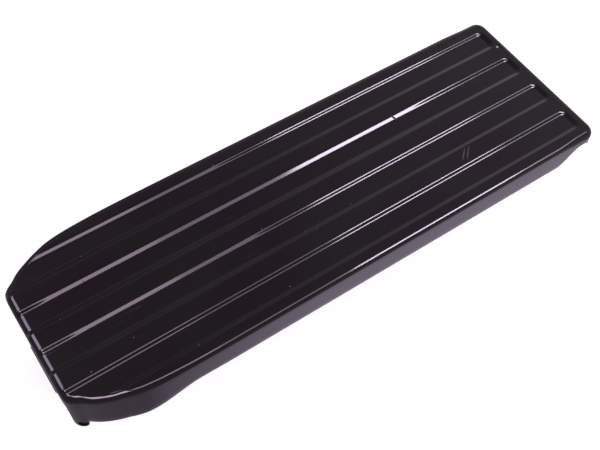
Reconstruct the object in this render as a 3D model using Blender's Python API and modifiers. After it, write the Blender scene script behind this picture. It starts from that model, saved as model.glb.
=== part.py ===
"""Foot pedal of an industrial sewing machine: a ribbed, enamelled steel tread that is hinged at its
heel on a narrow channel base, held up by a coil spring and limited by a stop bolt and a buffer.

Lengths are in millimetres until an object is added, where they become metres. The tread is drawn
flat in its own frame (x from heel to toe, z = 0 on the tread face) and then tilted about the hinge.
"""
import math

import bmesh
import bpy
from mathutils import Matrix, Vector

METRES = 0.001
GAP = 0.3                     # clearance between pieces that touch

# Tread, in its own frame
LENGTH = 265.0
HALF_WIDTH = 42.8
SHEET = 1.5
BEND = 3.0                    # outside radius between the face and the flanges
TOE_CORNER = 2.4              # corner radius of the flat face
CHANNEL_PITCH = 20.2
CHANNEL_WIDTH = 10.2
CHANNEL_DEPTH = 1.1
CHANNEL_WALL = 2.4            # run of a channel's sloping wall
CHANNEL_TOE_END = 259.2
FLANGE_DEPTH = 14.6
HEEL_FLANGE_DEPTH = 21.6
HEEL_SKIRT_DEPTH = 11.0
SIDE_LIP_DEPTH = 6.0          # flange beside the toe corners
TOE_LIP_DEPTH = 8.8
# Corner cut at the heel: half-width of the flat face along the tread
HEEL_CUT = [(3.4, 26.2), (7.2, 29.1), (10.2, 31.4), (13.4, 33.2), (17.4, 34.9), (20.8, 36.0),
            (25.2, 37.5), (30.6, 38.5), (37.0, 39.1), (51.0, 39.6)]

# Hinge, in the tread's frame
AXIS_X = 3.3
AXIS_Z = -24.0
EAR_X = 2.7
EAR_RADIUS = 3.2
EAR_SIDE = 29.5               # outer side of the ear at the hinge axis
EAR_SLOPE = 0.78              # sideways run of the ear along the tread
REST_TILT = math.radians(8.0)

# World: the floor is z = 0 and the base lies along x
HINGE_X = -129.6
HINGE_Z = 8.5
PIN_RADIUS = 1.6
BORE_RADIUS = 1.9
BARREL_RADIUS = 3.5
BARREL_HALF = 12.0
SLEEVE_END = 24.4

# Base channel, x measured from the hinge
BASE_START = 12.0
BASE_END = 196.0
BASE_HALF = 20.0
BASE_SHEET = 2.0
BASE_UNDERSIDE = 4.0
BASE_WALL_TOP = 12.0
WEB_TOP = BASE_UNDERSIDE + BASE_SHEET

FOOT_PLACES = [(24.0, -13.0), (24.0, 13.0), (184.0, -13.0), (184.0, 13.0)]
FOOT_RADIUS = 6.5
FOOT_SCREW_RADIUS = 1.7

SPRING_X = 120.0
SPRING_RADIUS = 8.0           # to the middle of the wire
SPRING_WIRE = 0.9
SPRING_TURNS = 8
CUP_RADIUS = 11.0
UPPER_CUP_RADIUS = 12.4
CUP_WALL = 1.2
CUP_HEIGHT = 5.0
CUP_LEAD = 0.9                # sets the upper cup over the spring half way through the travel

STOP_X = 66.0
STOP_SHELF_Z = -19.3          # upper face of the bracket's shelf, tread frame
STOP_BOLT_RADIUS = 2.5
BUFFER_X = 165.0
BUFFER_TOP = 29.4

TONGUE_START = 222.0
TONGUE_END = 272.0
TONGUE_THICK = 2.5
TONGUE_DROP = 16.0
TONGUE_HALF = 10.0

ENAMEL = ("black stove enamel", (0.022, 0.014, 0.019), 0.22, 0.0)
BLACKED = ("blackened steel", (0.035, 0.033, 0.036), 0.45, 0.8)
ZINC = ("zinc plated steel", (0.62, 0.62, 0.60), 0.35, 1.0)
SPRING_STEEL = ("oiled spring steel", (0.20, 0.20, 0.21), 0.30, 1.0)
RUBBER = ("black rubber", (0.03, 0.03, 0.03), 0.85, 0.0)
NYLON = ("natural nylon", (0.72, 0.70, 0.63), 0.50, 0.0)


def clear_scene():
    for thing in list(bpy.data.objects):
        bpy.data.objects.remove(thing, do_unlink=True)


def new_collection(name):
    collection = bpy.data.collections.new(name)
    bpy.context.scene.collection.children.link(collection)
    return collection


def material(spec):
    """A Principled material, made once per finish."""
    name, colour, roughness, metallic = spec
    made = bpy.data.materials.get(name)
    if made is None:
        made = bpy.data.materials.new(name)
        made.use_nodes = True
        shader = made.node_tree.nodes["Principled BSDF"]
        shader.inputs["Base Color"].default_value = (*colour, 1.0)
        shader.inputs["Roughness"].default_value = roughness
        shader.inputs["Metallic"].default_value = metallic
    return made


def add_object(name, bm, finish, place=(0.0, 0.0, 0.0), parent=None, smooth=True):
    """Turn a bmesh in millimetres into a named object in metres."""
    bmesh.ops.scale(bm, vec=(METRES, METRES, METRES), verts=bm.verts)
    mesh = bpy.data.meshes.new(name)
    bm.to_mesh(mesh)
    bm.free()
    if smooth:
        mesh.shade_smooth()
        mesh.set_sharp_from_angle(angle=math.radians(35.0))
    made = bpy.data.objects.new(name, mesh)
    made.location = Vector(place) * METRES
    made.parent = parent
    if finish is None:
        cutters.objects.link(made)
        made.hide_render = True
        made.display_type = "WIRE"
    else:
        parts.objects.link(made)
        mesh.materials.append(material(finish))
    return made


def boolean(target, operand, operation):
    modifier = target.modifiers.new(operation.title(), "BOOLEAN")
    modifier.operation = operation
    modifier.object = operand


def cylinder(radius, low, high, sides=32, axis="Z", centre=(0.0, 0.0, 0.0)):
    """A closed cylinder that runs from low to high along its axis."""
    bm = bmesh.new()
    bmesh.ops.create_cone(bm, cap_ends=True, segments=sides, radius1=radius, radius2=radius,
                          depth=high - low)
    bmesh.ops.translate(bm, vec=(0.0, 0.0, (low + high) / 2.0), verts=bm.verts)
    if axis == "Y":
        bmesh.ops.rotate(bm, matrix=Matrix.Rotation(math.radians(-90.0), 3, "X"), verts=bm.verts)
    bmesh.ops.translate(bm, vec=centre, verts=bm.verts)
    return bm


def block(low, high):
    """A box between two corners."""
    bm = bmesh.new()
    bmesh.ops.create_cube(bm, size=1.0)
    size = Vector(high) - Vector(low)
    bmesh.ops.scale(bm, vec=size, verts=bm.verts)
    bmesh.ops.translate(bm, vec=(Vector(high) + Vector(low)) / 2.0, verts=bm.verts)
    return bm


def extruded(outline, plane, low, high):
    """A flat outline in the XZ or YZ plane, pushed through from low to high along the third axis."""
    bm = bmesh.new()
    if plane == "XZ":
        verts = [bm.verts.new((a, low, b)) for a, b in outline]
        push = (0.0, high - low, 0.0)
    else:
        verts = [bm.verts.new((low, a, b)) for a, b in outline]
        push = (high - low, 0.0, 0.0)
    face = bm.faces.new(verts)
    pushed = bmesh.ops.extrude_face_region(bm, geom=[face])
    moved = [item for item in pushed["geom"] if isinstance(item, bmesh.types.BMVert)]
    bmesh.ops.translate(bm, vec=push, verts=moved)
    bmesh.ops.recalc_face_normals(bm, faces=bm.faces)
    return bm


def turned(name, profile, finish, place, parent=None, sides=32):
    """A turned piece: a closed (radius, height) profile with a Screw modifier round the Z axis."""
    bm = bmesh.new()
    verts = [bm.verts.new((radius, 0.0, height)) for radius, height in profile]
    for first, second in zip(verts, verts[1:]):
        bm.edges.new((first, second))
    if profile[0][0] > 0.0:
        bm.edges.new((verts[-1], verts[0]))
    made = add_object(name, bm, finish, place, parent, smooth=False)
    screw = made.modifiers.new("Screw", "SCREW")
    screw.axis = "Z"
    screw.steps = sides
    screw.render_steps = sides
    screw.use_merge_vertices = True
    screw.merge_threshold = 0.00001
    return made


def channel_floor(y):
    """Depth of the tread face below its lands at a place across it."""
    depth = 0.0
    for index in range(4):
        middle = (index - 1.5) * CHANNEL_PITCH
        edge = abs(y - middle) - CHANNEL_WIDTH / 2.0
        inside = min(max(0.5 - edge / CHANNEL_WALL, 0.0), 1.0)
        depth = max(depth, inside * CHANNEL_DEPTH)
    return depth


def face_depth(x, y):
    """Depth of the face at a place on it: the channels stop short of the toe."""
    fade = min(max(0.5 + (CHANNEL_TOE_END - x) / CHANNEL_WALL, 0.0), 1.0)
    return channel_floor(y) * fade


def toe_half_width(x):
    """Half-width of the flat face ahead of the heel's corner cuts, round the toe corners."""
    run = min(max(x - (LENGTH - BEND - TOE_CORNER), 0.0), TOE_CORNER)
    return HALF_WIDTH - BEND - TOE_CORNER + math.sqrt(TOE_CORNER ** 2 - run ** 2)


def face_columns():
    """Places along the tread with the half-width of the flat face at each."""
    columns = [(BEND, 22.8), (BEND + 0.1, 24.2), (BEND + 0.24, 25.3)]
    for (x0, w0), (x1, w1) in zip(HEEL_CUT, HEEL_CUT[1:]):
        steps = 5 if x1 < 8.0 else 1
        for step in range(steps):
            share = step / steps
            columns.append((x0 + (x1 - x0) * share, w0 + (w1 - w0) * share))
    columns.append(HEEL_CUT[-1])
    wall = CHANNEL_WALL / 2.0
    toe = LENGTH - BEND
    for x in (66.0, 105.0, 150.0, 195.0, 244.0, 247.0, 250.0, 253.0, 256.0,
              CHANNEL_TOE_END - wall, toe - TOE_CORNER, CHANNEL_TOE_END + wall, toe - 0.7,
              toe - 0.2, toe):
        columns.append((x, toe_half_width(x)))
    return columns


def face_rows():
    """Places across half of the tread, from the middle out: both edges of each channel wall."""
    rows = []
    for index in (0.5, 1.5):
        for side in (-1.0, 1.0):
            wall = index * CHANNEL_PITCH + side * CHANNEL_WIDTH / 2.0
            rows += [wall - CHANNEL_WALL / 2.0, wall + CHANNEL_WALL / 2.0]
    return rows


def row_places(half_width):
    """All places across one column; outer rows close up where the corner cut narrows the face."""
    rows = face_rows()
    room = 0.25
    half = [min(row, half_width - room * (len(rows) - i)) for i, row in enumerate(rows)]
    half.append(half_width)
    return [-y for y in reversed(half)] + half


def ear_depth(place):
    """Depth of the ear's round end below the face, or 0 away from the ear."""
    along = Vector((1.0, EAR_SLOPE)).normalized()
    offset = Vector((place.x - EAR_X, abs(place.y) - EAR_SIDE)).dot(along)
    if abs(offset) > EAR_RADIUS:
        return 0.0, offset
    return -AXIS_Z + math.sqrt(EAR_RADIUS ** 2 - offset ** 2), offset


def smooth_step(value, low, high):
    share = min(max((value - low) / (high - low), 0.0), 1.0)
    return share * share * (3.0 - 2.0 * share)


def flange_depth(place):
    """Depth of the flange's lower edge at a place on the outline."""
    depth, offset = ear_depth(place)
    if depth > 0.0:
        return depth
    if offset < 0.0 or abs(place.y) < EAR_SIDE - EAR_RADIUS:
        if place.x < LENGTH / 2.0:
            return HEEL_SKIRT_DEPTH
        return TOE_LIP_DEPTH
    deep = HEEL_FLANGE_DEPTH - FLANGE_DEPTH
    side = HEEL_FLANGE_DEPTH - deep * smooth_step(place.x, 26.0, 52.0)
    side -= (FLANGE_DEPTH - SIDE_LIP_DEPTH) * smooth_step(place.x, 244.0, 256.5)
    return side + (TOE_LIP_DEPTH - SIDE_LIP_DEPTH) * smooth_step(place.x, 261.0, 262.5)


def face_grid():
    """The tread face as a grid that follows the outline, with its channels pressed in."""
    columns = face_columns()
    count = len(row_places(HALF_WIDTH))
    bm = bmesh.new()
    bmesh.ops.create_grid(bm, x_segments=len(columns) - 1, y_segments=count - 1, size=1.0)
    for vert in bm.verts:
        column = round((vert.co.x + 1.0) / 2.0 * (len(columns) - 1))
        row = round((vert.co.y + 1.0) / 2.0 * (count - 1))
        x, half_width = columns[column]
        y = row_places(half_width)[row]
        vert.co = (x, y, -face_depth(x, y))
    return bm


def outward_normals(rim):
    """The outline's outward direction at each vertex of the face's rim."""
    normals = {}
    for vert in rim:
        total = Vector((0.0, 0.0))
        for edge in vert.link_edges:
            if edge.is_boundary:
                run = (edge.verts[1].co - edge.verts[0].co).xy.normalized()
                side = Vector((run.y, -run.x))
                inner = edge.link_faces[0].calc_center_median().xy - edge.verts[0].co.xy
                total += side if side.dot(inner) < 0.0 else -side
        normals[vert] = total.normalized()
    return normals


def extrude_rim(bm, ring):
    """Extrude the open rim once; returns new vertex -> data, with the data of the old vertex."""
    edges = [edge for edge in bm.edges if edge.is_boundary]
    made = bmesh.ops.extrude_edge_only(bm, edges=edges)["geom"]
    moved = {}
    for vert in [item for item in made if isinstance(item, bmesh.types.BMVert)]:
        for edge in vert.link_edges:
            other = edge.other_vert(vert)
            if other in ring:
                moved[vert] = ring[other]
    return moved


def tread_sheet():
    """The face, the bend round it and the flanges, as an open surface."""
    bm = face_grid()
    rim = {vert for edge in bm.edges if edge.is_boundary for vert in edge.verts}
    normals = outward_normals(rim)
    ring = {vert: (vert.co.copy(), normals[vert]) for vert in rim}
    bend_steps = 4
    for step in range(1, bend_steps + 1):
        angle = math.radians(90.0) * step / bend_steps
        ring = extrude_rim(bm, ring)
        for vert, (start, normal) in ring.items():
            outward = normal * BEND * math.sin(angle)
            drop = BEND * (1.0 - math.cos(angle))
            vert.co = (start.x + outward.x, start.y + outward.y, start.z - drop)
    ring = extrude_rim(bm, ring)
    for vert, (start, normal) in ring.items():
        place = start.xy + normal * BEND
        vert.co = (place.x, place.y, -flange_depth(place))
    bmesh.ops.recalc_face_normals(bm, faces=bm.faces)
    return bm


def tilt_to_rest(bm):
    """Move a piece from the tread's frame to the hinge axis, with the toe up."""
    bmesh.ops.translate(bm, vec=(-AXIS_X, 0.0, -AXIS_Z), verts=bm.verts)
    bmesh.ops.rotate(bm, matrix=Matrix.Rotation(-REST_TILT, 3, "Y"), verts=bm.verts)
    return bm


def add_tread(pivot):
    tread = add_object("pedal_plate", tilt_to_rest(tread_sheet()), ENAMEL, parent=pivot)
    solidify = tread.modifiers.new("Solidify", "SOLIDIFY")
    solidify.thickness = SHEET * METRES
    solidify.offset = -1.0
    hole = add_object("pin_hole_cutter", cylinder(BORE_RADIUS, -45.0, 45.0, 24, "Y"), None,
                      parent=pivot)
    boolean(tread, hole, "DIFFERENCE")


def add_upper_cup(pivot):
    """Spring cup welded under the tread, mouth down."""
    top = -CHANNEL_DEPTH - SHEET - GAP
    outer = UPPER_CUP_RADIUS
    inner = outer - CUP_WALL
    profile = [(0.0, top), (outer, top), (outer, top - CUP_HEIGHT), (inner, top - CUP_HEIGHT),
               (inner, top - CUP_WALL), (0.0, top - CUP_WALL)]
    lifted = [(radius, height - AXIS_Z) for radius, height in profile]
    cup = turned("spring_cup_upper", lifted, BLACKED, (0.0, 0.0, 0.0), pivot)
    reach = (SPRING_X / math.cos(REST_TILT) + CUP_LEAD) * METRES
    cup.location = (reach * math.cos(REST_TILT), 0.0, reach * math.sin(REST_TILT))
    cup.rotation_euler = (0.0, -REST_TILT, 0.0)


def add_stop_bracket(pivot):
    """Hat-shaped bracket welded under the tread; the stop bolt passes through its shelf."""
    top = -CHANNEL_DEPTH - SHEET - GAP
    leg = 9.0
    foot = 14.0
    thick = 1.5
    upper = [(foot, top), (leg - thick, top), (leg - thick, STOP_SHELF_Z)]
    lower = [(leg, STOP_SHELF_Z - thick), (leg, top - thick), (foot, top - thick)]
    outline = upper + [(-y, z) for y, z in reversed(upper)]
    outline += [(-y, z) for y, z in reversed(lower)] + lower
    centre = STOP_X / math.cos(REST_TILT) + AXIS_X
    bracket = add_object("up_stop_bracket",
                         tilt_to_rest(extruded(outline, "YZ", centre - 8.0, centre + 8.0)),
                         BLACKED, parent=pivot, smooth=False)
    hole = add_object("stop_slot_cutter",
                      tilt_to_rest(cylinder(4.2, STOP_SHELF_Z - 4.0, STOP_SHELF_Z + 4.0, 24, "Z",
                                            (centre, 0.0, 0.0))), None, parent=pivot)
    boolean(bracket, hole, "DIFFERENCE")


def add_link_tongue(pivot):
    """Cranked tongue welded under the toe, with an eye for the lifting chain."""
    top = -CHANNEL_DEPTH - SHEET - GAP
    crank = 246.0
    landing = crank + 10.0
    thick = TONGUE_THICK
    outline = [(TONGUE_START, top), (crank, top), (landing, -TONGUE_DROP),
               (TONGUE_END, -TONGUE_DROP), (TONGUE_END, -TONGUE_DROP - thick),
               (landing - 1.0, -TONGUE_DROP - thick), (crank - 1.0, top - thick),
               (TONGUE_START, top - thick)]
    bar = extruded(outline, "XZ", -TONGUE_HALF, TONGUE_HALF)
    tongue = add_object("link_tongue", tilt_to_rest(bar), BLACKED, parent=pivot, smooth=False)
    eye = cylinder(3.2, -TONGUE_DROP - 6.0, -TONGUE_DROP + 4.0, 24, "Z",
                   (TONGUE_END - 7.0, 0.0, 0.0))
    boolean(tongue, add_object("eye_cutter", tilt_to_rest(eye), None, parent=pivot), "DIFFERENCE")


def add_base():
    """Channel base: web, two low side walls, and a tail that is curled round the hinge pin."""
    walls = [(-BASE_HALF, BASE_WALL_TOP), (-BASE_HALF, BASE_UNDERSIDE),
             (BASE_HALF, BASE_UNDERSIDE), (BASE_HALF, BASE_WALL_TOP),
             (BASE_HALF - BASE_SHEET, BASE_WALL_TOP), (BASE_HALF - BASE_SHEET, WEB_TOP),
             (BASE_SHEET - BASE_HALF, WEB_TOP), (BASE_SHEET - BASE_HALF, BASE_WALL_TOP)]
    origin = (HINGE_X, 0.0, 0.0)
    base = add_object("base_channel", extruded(walls, "YZ", BASE_START, BASE_END), BLACKED, origin,
                      smooth=False)
    bevel = base.modifiers.new("Bevel", "BEVEL")
    bevel.width = 0.0008
    bevel.segments = 2
    bevel.limit_method = "ANGLE"
    tail = add_object("base_tail", block((0.0, -BARREL_HALF, BASE_UNDERSIDE + 0.2),
                                         (BASE_START + 4.0, BARREL_HALF, WEB_TOP - 0.1)),
                      None, origin)
    barrel = add_object("base_barrel",
                        cylinder(BARREL_RADIUS, -BARREL_HALF, BARREL_HALF, 32, "Y",
                                 (0.0, 0.0, HINGE_Z)), None, origin)
    boolean(base, tail, "UNION")
    boolean(base, barrel, "UNION")
    bores = [add_object("barrel_bore", cylinder(BORE_RADIUS, -40.0, 40.0, 24, "Y",
                                                (0.0, 0.0, HINGE_Z)), None, origin)]
    drillings = [(x, y, FOOT_SCREW_RADIUS + GAP) for x, y in FOOT_PLACES]
    drillings += [(SPRING_X, 0.0, 2.7), (STOP_X, 0.0, STOP_BOLT_RADIUS + GAP),
                  (BUFFER_X, 0.0, 2.3)]
    for number, (x, y, radius) in enumerate(drillings):
        bores.append(add_object(f"web_hole_{number + 1}",
                                cylinder(radius, 0.0, 10.0, 20, "Z", (x, y, 0.0)), None, origin))
    for bore in bores:
        boolean(base, bore, "DIFFERENCE")


def add_hinge_pin():
    """Pin through both ears, its ends dressed flush with the slanting ears."""
    pin = cylinder(PIN_RADIUS, -1.0, 1.0, 24, "Y")
    for vert in pin.verts:
        side = 1.0 if vert.co.y > 0.0 else -1.0
        vert.co.y = side * (EAR_SIDE + EAR_SLOPE * vert.co.x - 0.15)
    add_object("hinge_pin", pin, BLACKED, (HINGE_X, 0.0, HINGE_Z))


def add_sleeves():
    """Nylon sleeves that centre the tread on the base's barrel."""
    for name, side in (("hinge_sleeve_near", -1.0), ("hinge_sleeve_far", 1.0)):
        outer = BARREL_RADIUS - 0.7
        start = BARREL_HALF + GAP
        profile = [(outer, SLEEVE_END), (outer, start), (BORE_RADIUS, start),
                   (BORE_RADIUS, SLEEVE_END)]
        sleeve = turned(name, profile, NYLON, (HINGE_X, 0.0, HINGE_Z), sides=24)
        sleeve.rotation_euler = (-side * math.radians(90.0), 0.0, 0.0)


def add_lower_cup():
    low = WEB_TOP + GAP
    inner = CUP_RADIUS - CUP_WALL
    profile = [(inner, low + CUP_HEIGHT), (CUP_RADIUS, low + CUP_HEIGHT), (CUP_RADIUS, low),
               (2.7, low), (2.7, low + CUP_WALL), (inner, low + CUP_WALL)]
    turned("spring_cup_lower", profile, ZINC, (HINGE_X + SPRING_X, 0.0, 0.0))
    head = low + CUP_WALL + GAP
    rivet = [(0.0, head + 1.4), (2.6, head + 1.1), (4.2, head), (2.4, head),
             (2.4, BASE_UNDERSIDE - GAP), (3.8, BASE_UNDERSIDE - GAP),
             (3.0, BASE_UNDERSIDE - 1.5), (0.0, BASE_UNDERSIDE - 1.8)]
    turned("cup_rivet", rivet, ZINC, (HINGE_X + SPRING_X, 0.0, 0.0), sides=24)


def add_spring():
    """Compression spring with closed ends; its upper end leans with the tread."""
    low = WEB_TOP + GAP + CUP_WALL + GAP + SPRING_WIRE
    seat = -CHANNEL_DEPTH - SHEET - GAP - CUP_WALL - GAP - AXIS_Z
    high = HINGE_Z + seat * math.cos(REST_TILT) + SPRING_X * math.tan(REST_TILT) - SPRING_WIRE
    high -= (SPRING_RADIUS + SPRING_WIRE) * math.tan(REST_TILT) / 2.0 + GAP
    points = []
    per_turn = 14
    total = SPRING_TURNS * per_turn
    for step in range(total + 1):
        turn = step / per_turn
        closed = 2.0 * SPRING_WIRE + 0.15
        if turn < 1.0:
            height = low + closed * turn
        elif turn > SPRING_TURNS - 1.0:
            height = high - closed * (SPRING_TURNS - turn)
        else:
            share = (turn - 1.0) / (SPRING_TURNS - 2.0)
            height = low + closed + (high - low - 2.0 * closed) * share
        angle = 2.0 * math.pi * turn
        x = SPRING_RADIUS * math.cos(angle)
        lean = math.tan(REST_TILT) / 2.0 * x * (height - low) / (high - low)
        points.append((x, SPRING_RADIUS * math.sin(angle), height + lean))
    curve = bpy.data.curves.new("return_spring", "CURVE")
    curve.dimensions = "3D"
    curve.bevel_depth = SPRING_WIRE * METRES
    curve.bevel_resolution = 2
    curve.use_fill_caps = True
    spline = curve.splines.new("POLY")
    spline.points.add(len(points) - 1)
    for point, place in zip(spline.points, points):
        point.co = (*(Vector(place) * METRES), 1.0)
    curve.materials.append(material(SPRING_STEEL))
    spring = bpy.data.objects.new("return_spring", curve)
    spring.location = ((HINGE_X + SPRING_X) * METRES, 0.0, 0.0)
    parts.objects.link(spring)


def shelf_height():
    """World height of the stop bracket's shelf over the stop bolt, at rest."""
    reach = STOP_X / math.cos(REST_TILT)
    return HINGE_Z + (STOP_SHELF_Z - AXIS_Z) * math.cos(REST_TILT) + reach * math.sin(REST_TILT)


def hexagon(across_flats, low, high):
    return cylinder(across_flats / math.sqrt(3.0), low, high, 6)


def add_stop_bolt():
    """Bolt that stands on the base and holds the tread's toe down against the spring."""
    place = (HINGE_X + STOP_X, 0.0, 0.0)
    washer_low = shelf_height() + 7.0 * math.tan(REST_TILT) + GAP
    washer_high = washer_low + 2.0
    head_low = washer_high + GAP
    washer = [(7.0, washer_high), (7.0, washer_low), (STOP_BOLT_RADIUS + GAP, washer_low),
              (STOP_BOLT_RADIUS + GAP, washer_high)]
    turned("up_stop_washer", washer, RUBBER, place)
    shank = add_object("up_stop_bolt",
                       cylinder(STOP_BOLT_RADIUS, BASE_UNDERSIDE + GAP, head_low + 1.0, 24),
                       ZINC, place, smooth=False)
    head = add_object("up_stop_bolt_head", hexagon(8.0, head_low, head_low + 3.0), None, place)
    boolean(shank, head, "UNION")
    nut = add_object("up_stop_nut", hexagon(8.0, WEB_TOP + GAP, WEB_TOP + GAP + 4.0), ZINC, place,
                     smooth=False)
    bore = add_object("nut_bore", cylinder(STOP_BOLT_RADIUS + GAP, 0.0, 20.0, 24), None, place)
    boolean(nut, bore, "DIFFERENCE")


def add_buffer():
    """Rubber buffer that the tread lands on, held by a screw from below."""
    place = (HINGE_X + BUFFER_X, 0.0, 0.0)
    low = WEB_TOP + GAP
    bore = 2.3
    bore_top = low + 12.0
    profile = [(0.0, BUFFER_TOP), (5.5, BUFFER_TOP), (7.0, BUFFER_TOP - 1.5), (9.0, low),
               (bore, low), (bore, bore_top), (0.0, bore_top)]
    turned("down_stop_buffer", profile, RUBBER, place)
    head_top = BASE_UNDERSIDE - GAP
    screw = [(0.0, bore_top - GAP), (2.0, bore_top - GAP), (2.0, head_top), (4.2, head_top),
             (3.6, head_top - 2.0), (0.0, head_top - 2.4)]
    turned("down_stop_screw", screw, ZINC, place, sides=24)


def add_feet():
    """Four rubber feet, each with a screw whose head is sunk in the rubber."""
    top = BASE_UNDERSIDE - GAP
    recess = 2.4
    for number, (x, y) in enumerate(FOOT_PLACES):
        place = (HINGE_X + x, y, 0.0)
        bore = FOOT_SCREW_RADIUS + GAP
        profile = [(FOOT_RADIUS, top), (FOOT_RADIUS - 0.6, 0.0), (4.0, 0.0), (4.0, recess),
                   (bore, recess), (bore, top)]
        turned(f"foot_{number + 1}", profile, RUBBER, place, sides=28)
        head_top = recess - GAP
        screw = [(0.0, WEB_TOP + 0.8), (FOOT_SCREW_RADIUS, WEB_TOP + 0.8),
                 (FOOT_SCREW_RADIUS, head_top), (3.5, head_top), (3.0, head_top - 1.2),
                 (0.0, head_top - 1.4)]
        turned(f"foot_screw_{number + 1}", screw, ZINC, place, sides=20)


clear_scene()
parts = new_collection("sewing_machine_pedal")
cutters = new_collection("cutters")

hinge = bpy.data.objects.new("hinge_axis", None)
hinge.location = (HINGE_X * METRES, 0.0, HINGE_Z * METRES)
parts.objects.link(hinge)

add_tread(hinge)
add_upper_cup(hinge)
add_stop_bracket(hinge)
add_link_tongue(hinge)
add_base()
add_hinge_pin()
add_sleeves()
add_lower_cup()
add_spring()
add_stop_bolt()
add_buffer()
add_feet()
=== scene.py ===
"""Looks of an industrial sewing machine's foot pedal: an enamelled, ribbed steel tread hinged at
its heel on a blackened channel base, with its spring, stops, feet and link tongue.

Shapes are drawn in millimetres and become metres when a piece is made. The tread and what is
welded to it are drawn flat in the tread's frame (x from heel to toe, z = 0 on the face) and then
laid in place with the tread's matrix. The rest is drawn where it stands.
"""
import math

import bmesh
import bpy
from mathutils import Matrix, Vector


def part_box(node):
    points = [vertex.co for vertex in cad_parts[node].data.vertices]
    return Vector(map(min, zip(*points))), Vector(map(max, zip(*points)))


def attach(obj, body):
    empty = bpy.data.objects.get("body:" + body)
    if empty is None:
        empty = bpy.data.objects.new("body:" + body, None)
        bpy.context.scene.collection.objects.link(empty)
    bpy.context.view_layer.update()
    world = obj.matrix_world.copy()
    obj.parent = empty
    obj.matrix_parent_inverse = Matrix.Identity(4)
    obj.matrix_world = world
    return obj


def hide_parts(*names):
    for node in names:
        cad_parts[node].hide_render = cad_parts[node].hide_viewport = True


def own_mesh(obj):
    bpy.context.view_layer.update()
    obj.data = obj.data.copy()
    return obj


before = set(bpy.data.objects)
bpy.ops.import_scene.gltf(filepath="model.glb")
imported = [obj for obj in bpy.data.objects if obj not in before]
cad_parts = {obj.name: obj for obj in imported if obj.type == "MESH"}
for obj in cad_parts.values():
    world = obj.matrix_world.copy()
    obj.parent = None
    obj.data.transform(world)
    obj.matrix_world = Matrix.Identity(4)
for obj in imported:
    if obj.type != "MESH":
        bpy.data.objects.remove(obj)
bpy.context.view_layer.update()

METRES = 0.001

# Tread, in its own frame
LENGTH = 265.0
HALF_WIDTH = 42.8
SHEET = 1.5
BEND = 3.0                    # outside radius of the bend at the heel and the toe
CROWN = 5.0                   # along the sides the bend starts with this gentler radius
CROWN_ANGLE = math.radians(18.0)
SIDE_BEND = 1.6               # and ends with this tighter one
EDGE = 0.35                   # rounding of the sheet's cut edge
TOE_CORNER = 2.4
CHANNEL_PITCH = 20.2
CHANNEL_WIDTH = 10.2
CHANNEL_DEPTH = 1.1
CHANNEL_WALL = 2.6            # width of a channel's S-shaped wall
WALL_ROOM = 2.1               # half of the widest wall
CHANNEL_TOE_END = 259.2
CHANNEL_CORNER = 2.6
FLANGE_DEPTH = 14.6
HEEL_FLANGE_DEPTH = 21.6
HEEL_SKIRT_DEPTH = 11.0
SIDE_LIP_DEPTH = 6.0
TOE_LIP_DEPTH = 8.8
# Each channel, from the near side: its share of the full depth, and where along the tread its
# walls have sprung back and become wider, and by how much
PRESSED = [(0.64, 60.0, 120.0, 0.06), (0.67, 17.0, 100.0, 0.4), (0.8, 12.0, 204.0, 0.45),
           (0.8, 14.0, 104.0, 0.32)]
OFF_CENTRE = -0.25            # the channels lie this far across from the middle
# Half-width of the flat face along the tread, where the heel's corners are cut
HEEL_CUT = [(3.0, 22.8), (3.1, 24.2), (3.24, 25.3), (3.4, 26.2), (7.2, 29.1), (10.2, 31.4),
            (13.4, 33.2), (17.4, 34.9), (20.8, 36.0), (25.2, 37.5), (30.6, 38.5), (37.0, 39.1),
            (51.0, 39.6), (66.0, 39.8)]

# Hinge: its axis and the ears in the tread's frame, and what turns on the axis
AXIS_X = 3.3
AXIS_Z = -24.0
EAR_X = 2.7                   # the middle of an ear, at EAR_SIDE from the middle of the tread
EAR_RADIUS = 3.2
EAR_SIDE = 29.5
EAR_SLOPE = 0.78              # how the ears slant, with the heel's cut corners
REST_TILT = math.radians(8.0)
PIN_RADIUS = 1.6
BORE_RADIUS = 1.9
BARREL_RADIUS = 3.5
BARREL_HALF = 12.0
SLEEVE_END = 24.4

# Base and what stands on it: x from the hinge, z from the floor
GAP = 0.3                     # clearance between pieces that touch in the real object
BASE_START = 12.0
BASE_END = 196.0
BASE_HALF = 20.0
BASE_SHEET = 2.0
BASE_UNDERSIDE = 4.0
BASE_WALL_TOP = 12.0
WEB_TOP = BASE_UNDERSIDE + BASE_SHEET
FOOT_CENTRE = 104.0
FOOT_SPREAD = (160.0, 26.0)
FOOT_RADIUS = 6.5
FOOT_SCREW_RADIUS = 1.7
SPRING_X = 120.0
SPRING_RADIUS = 8.0           # to the middle of the wire
SPRING_WIRE = 0.9             # radius of the wire
SPRING_TURNS = 8.0
CUP_RADIUS = 11.0
CUP_WALL = 1.2
CUP_HEIGHT = 5.0
RIVET_RADIUS = 2.4
STOP_X = 66.0
BOLT_RADIUS = 2.5
HEXAGON_FLATS = 8.0
WASHER_RADIUS = 7.0
WASHER_THICK = 2.0
BUFFER_X = 165.0
BUFFER_TOP = 29.4
BUFFER_SCREW_RADIUS = 2.0

# What is welded under the tread, in the tread's frame
UPPER_CUP_RADIUS = 12.4
CUP_LEAD = 0.8                # set this much forward, because it swings back as the tread rises
BRACKET_SHEET = 1.5
BRACKET_HALF_LENGTH = 8.0
STOP_SHELF_Z = -19.3
TONGUE_START = 222.0
TONGUE_END = 272.0
TONGUE_THICK = 2.5
TONGUE_DROP = 16.0
TONGUE_HALF = 10.0
TONGUE_EYE = 3.2              # radius of the hole for the lifting chain

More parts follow.
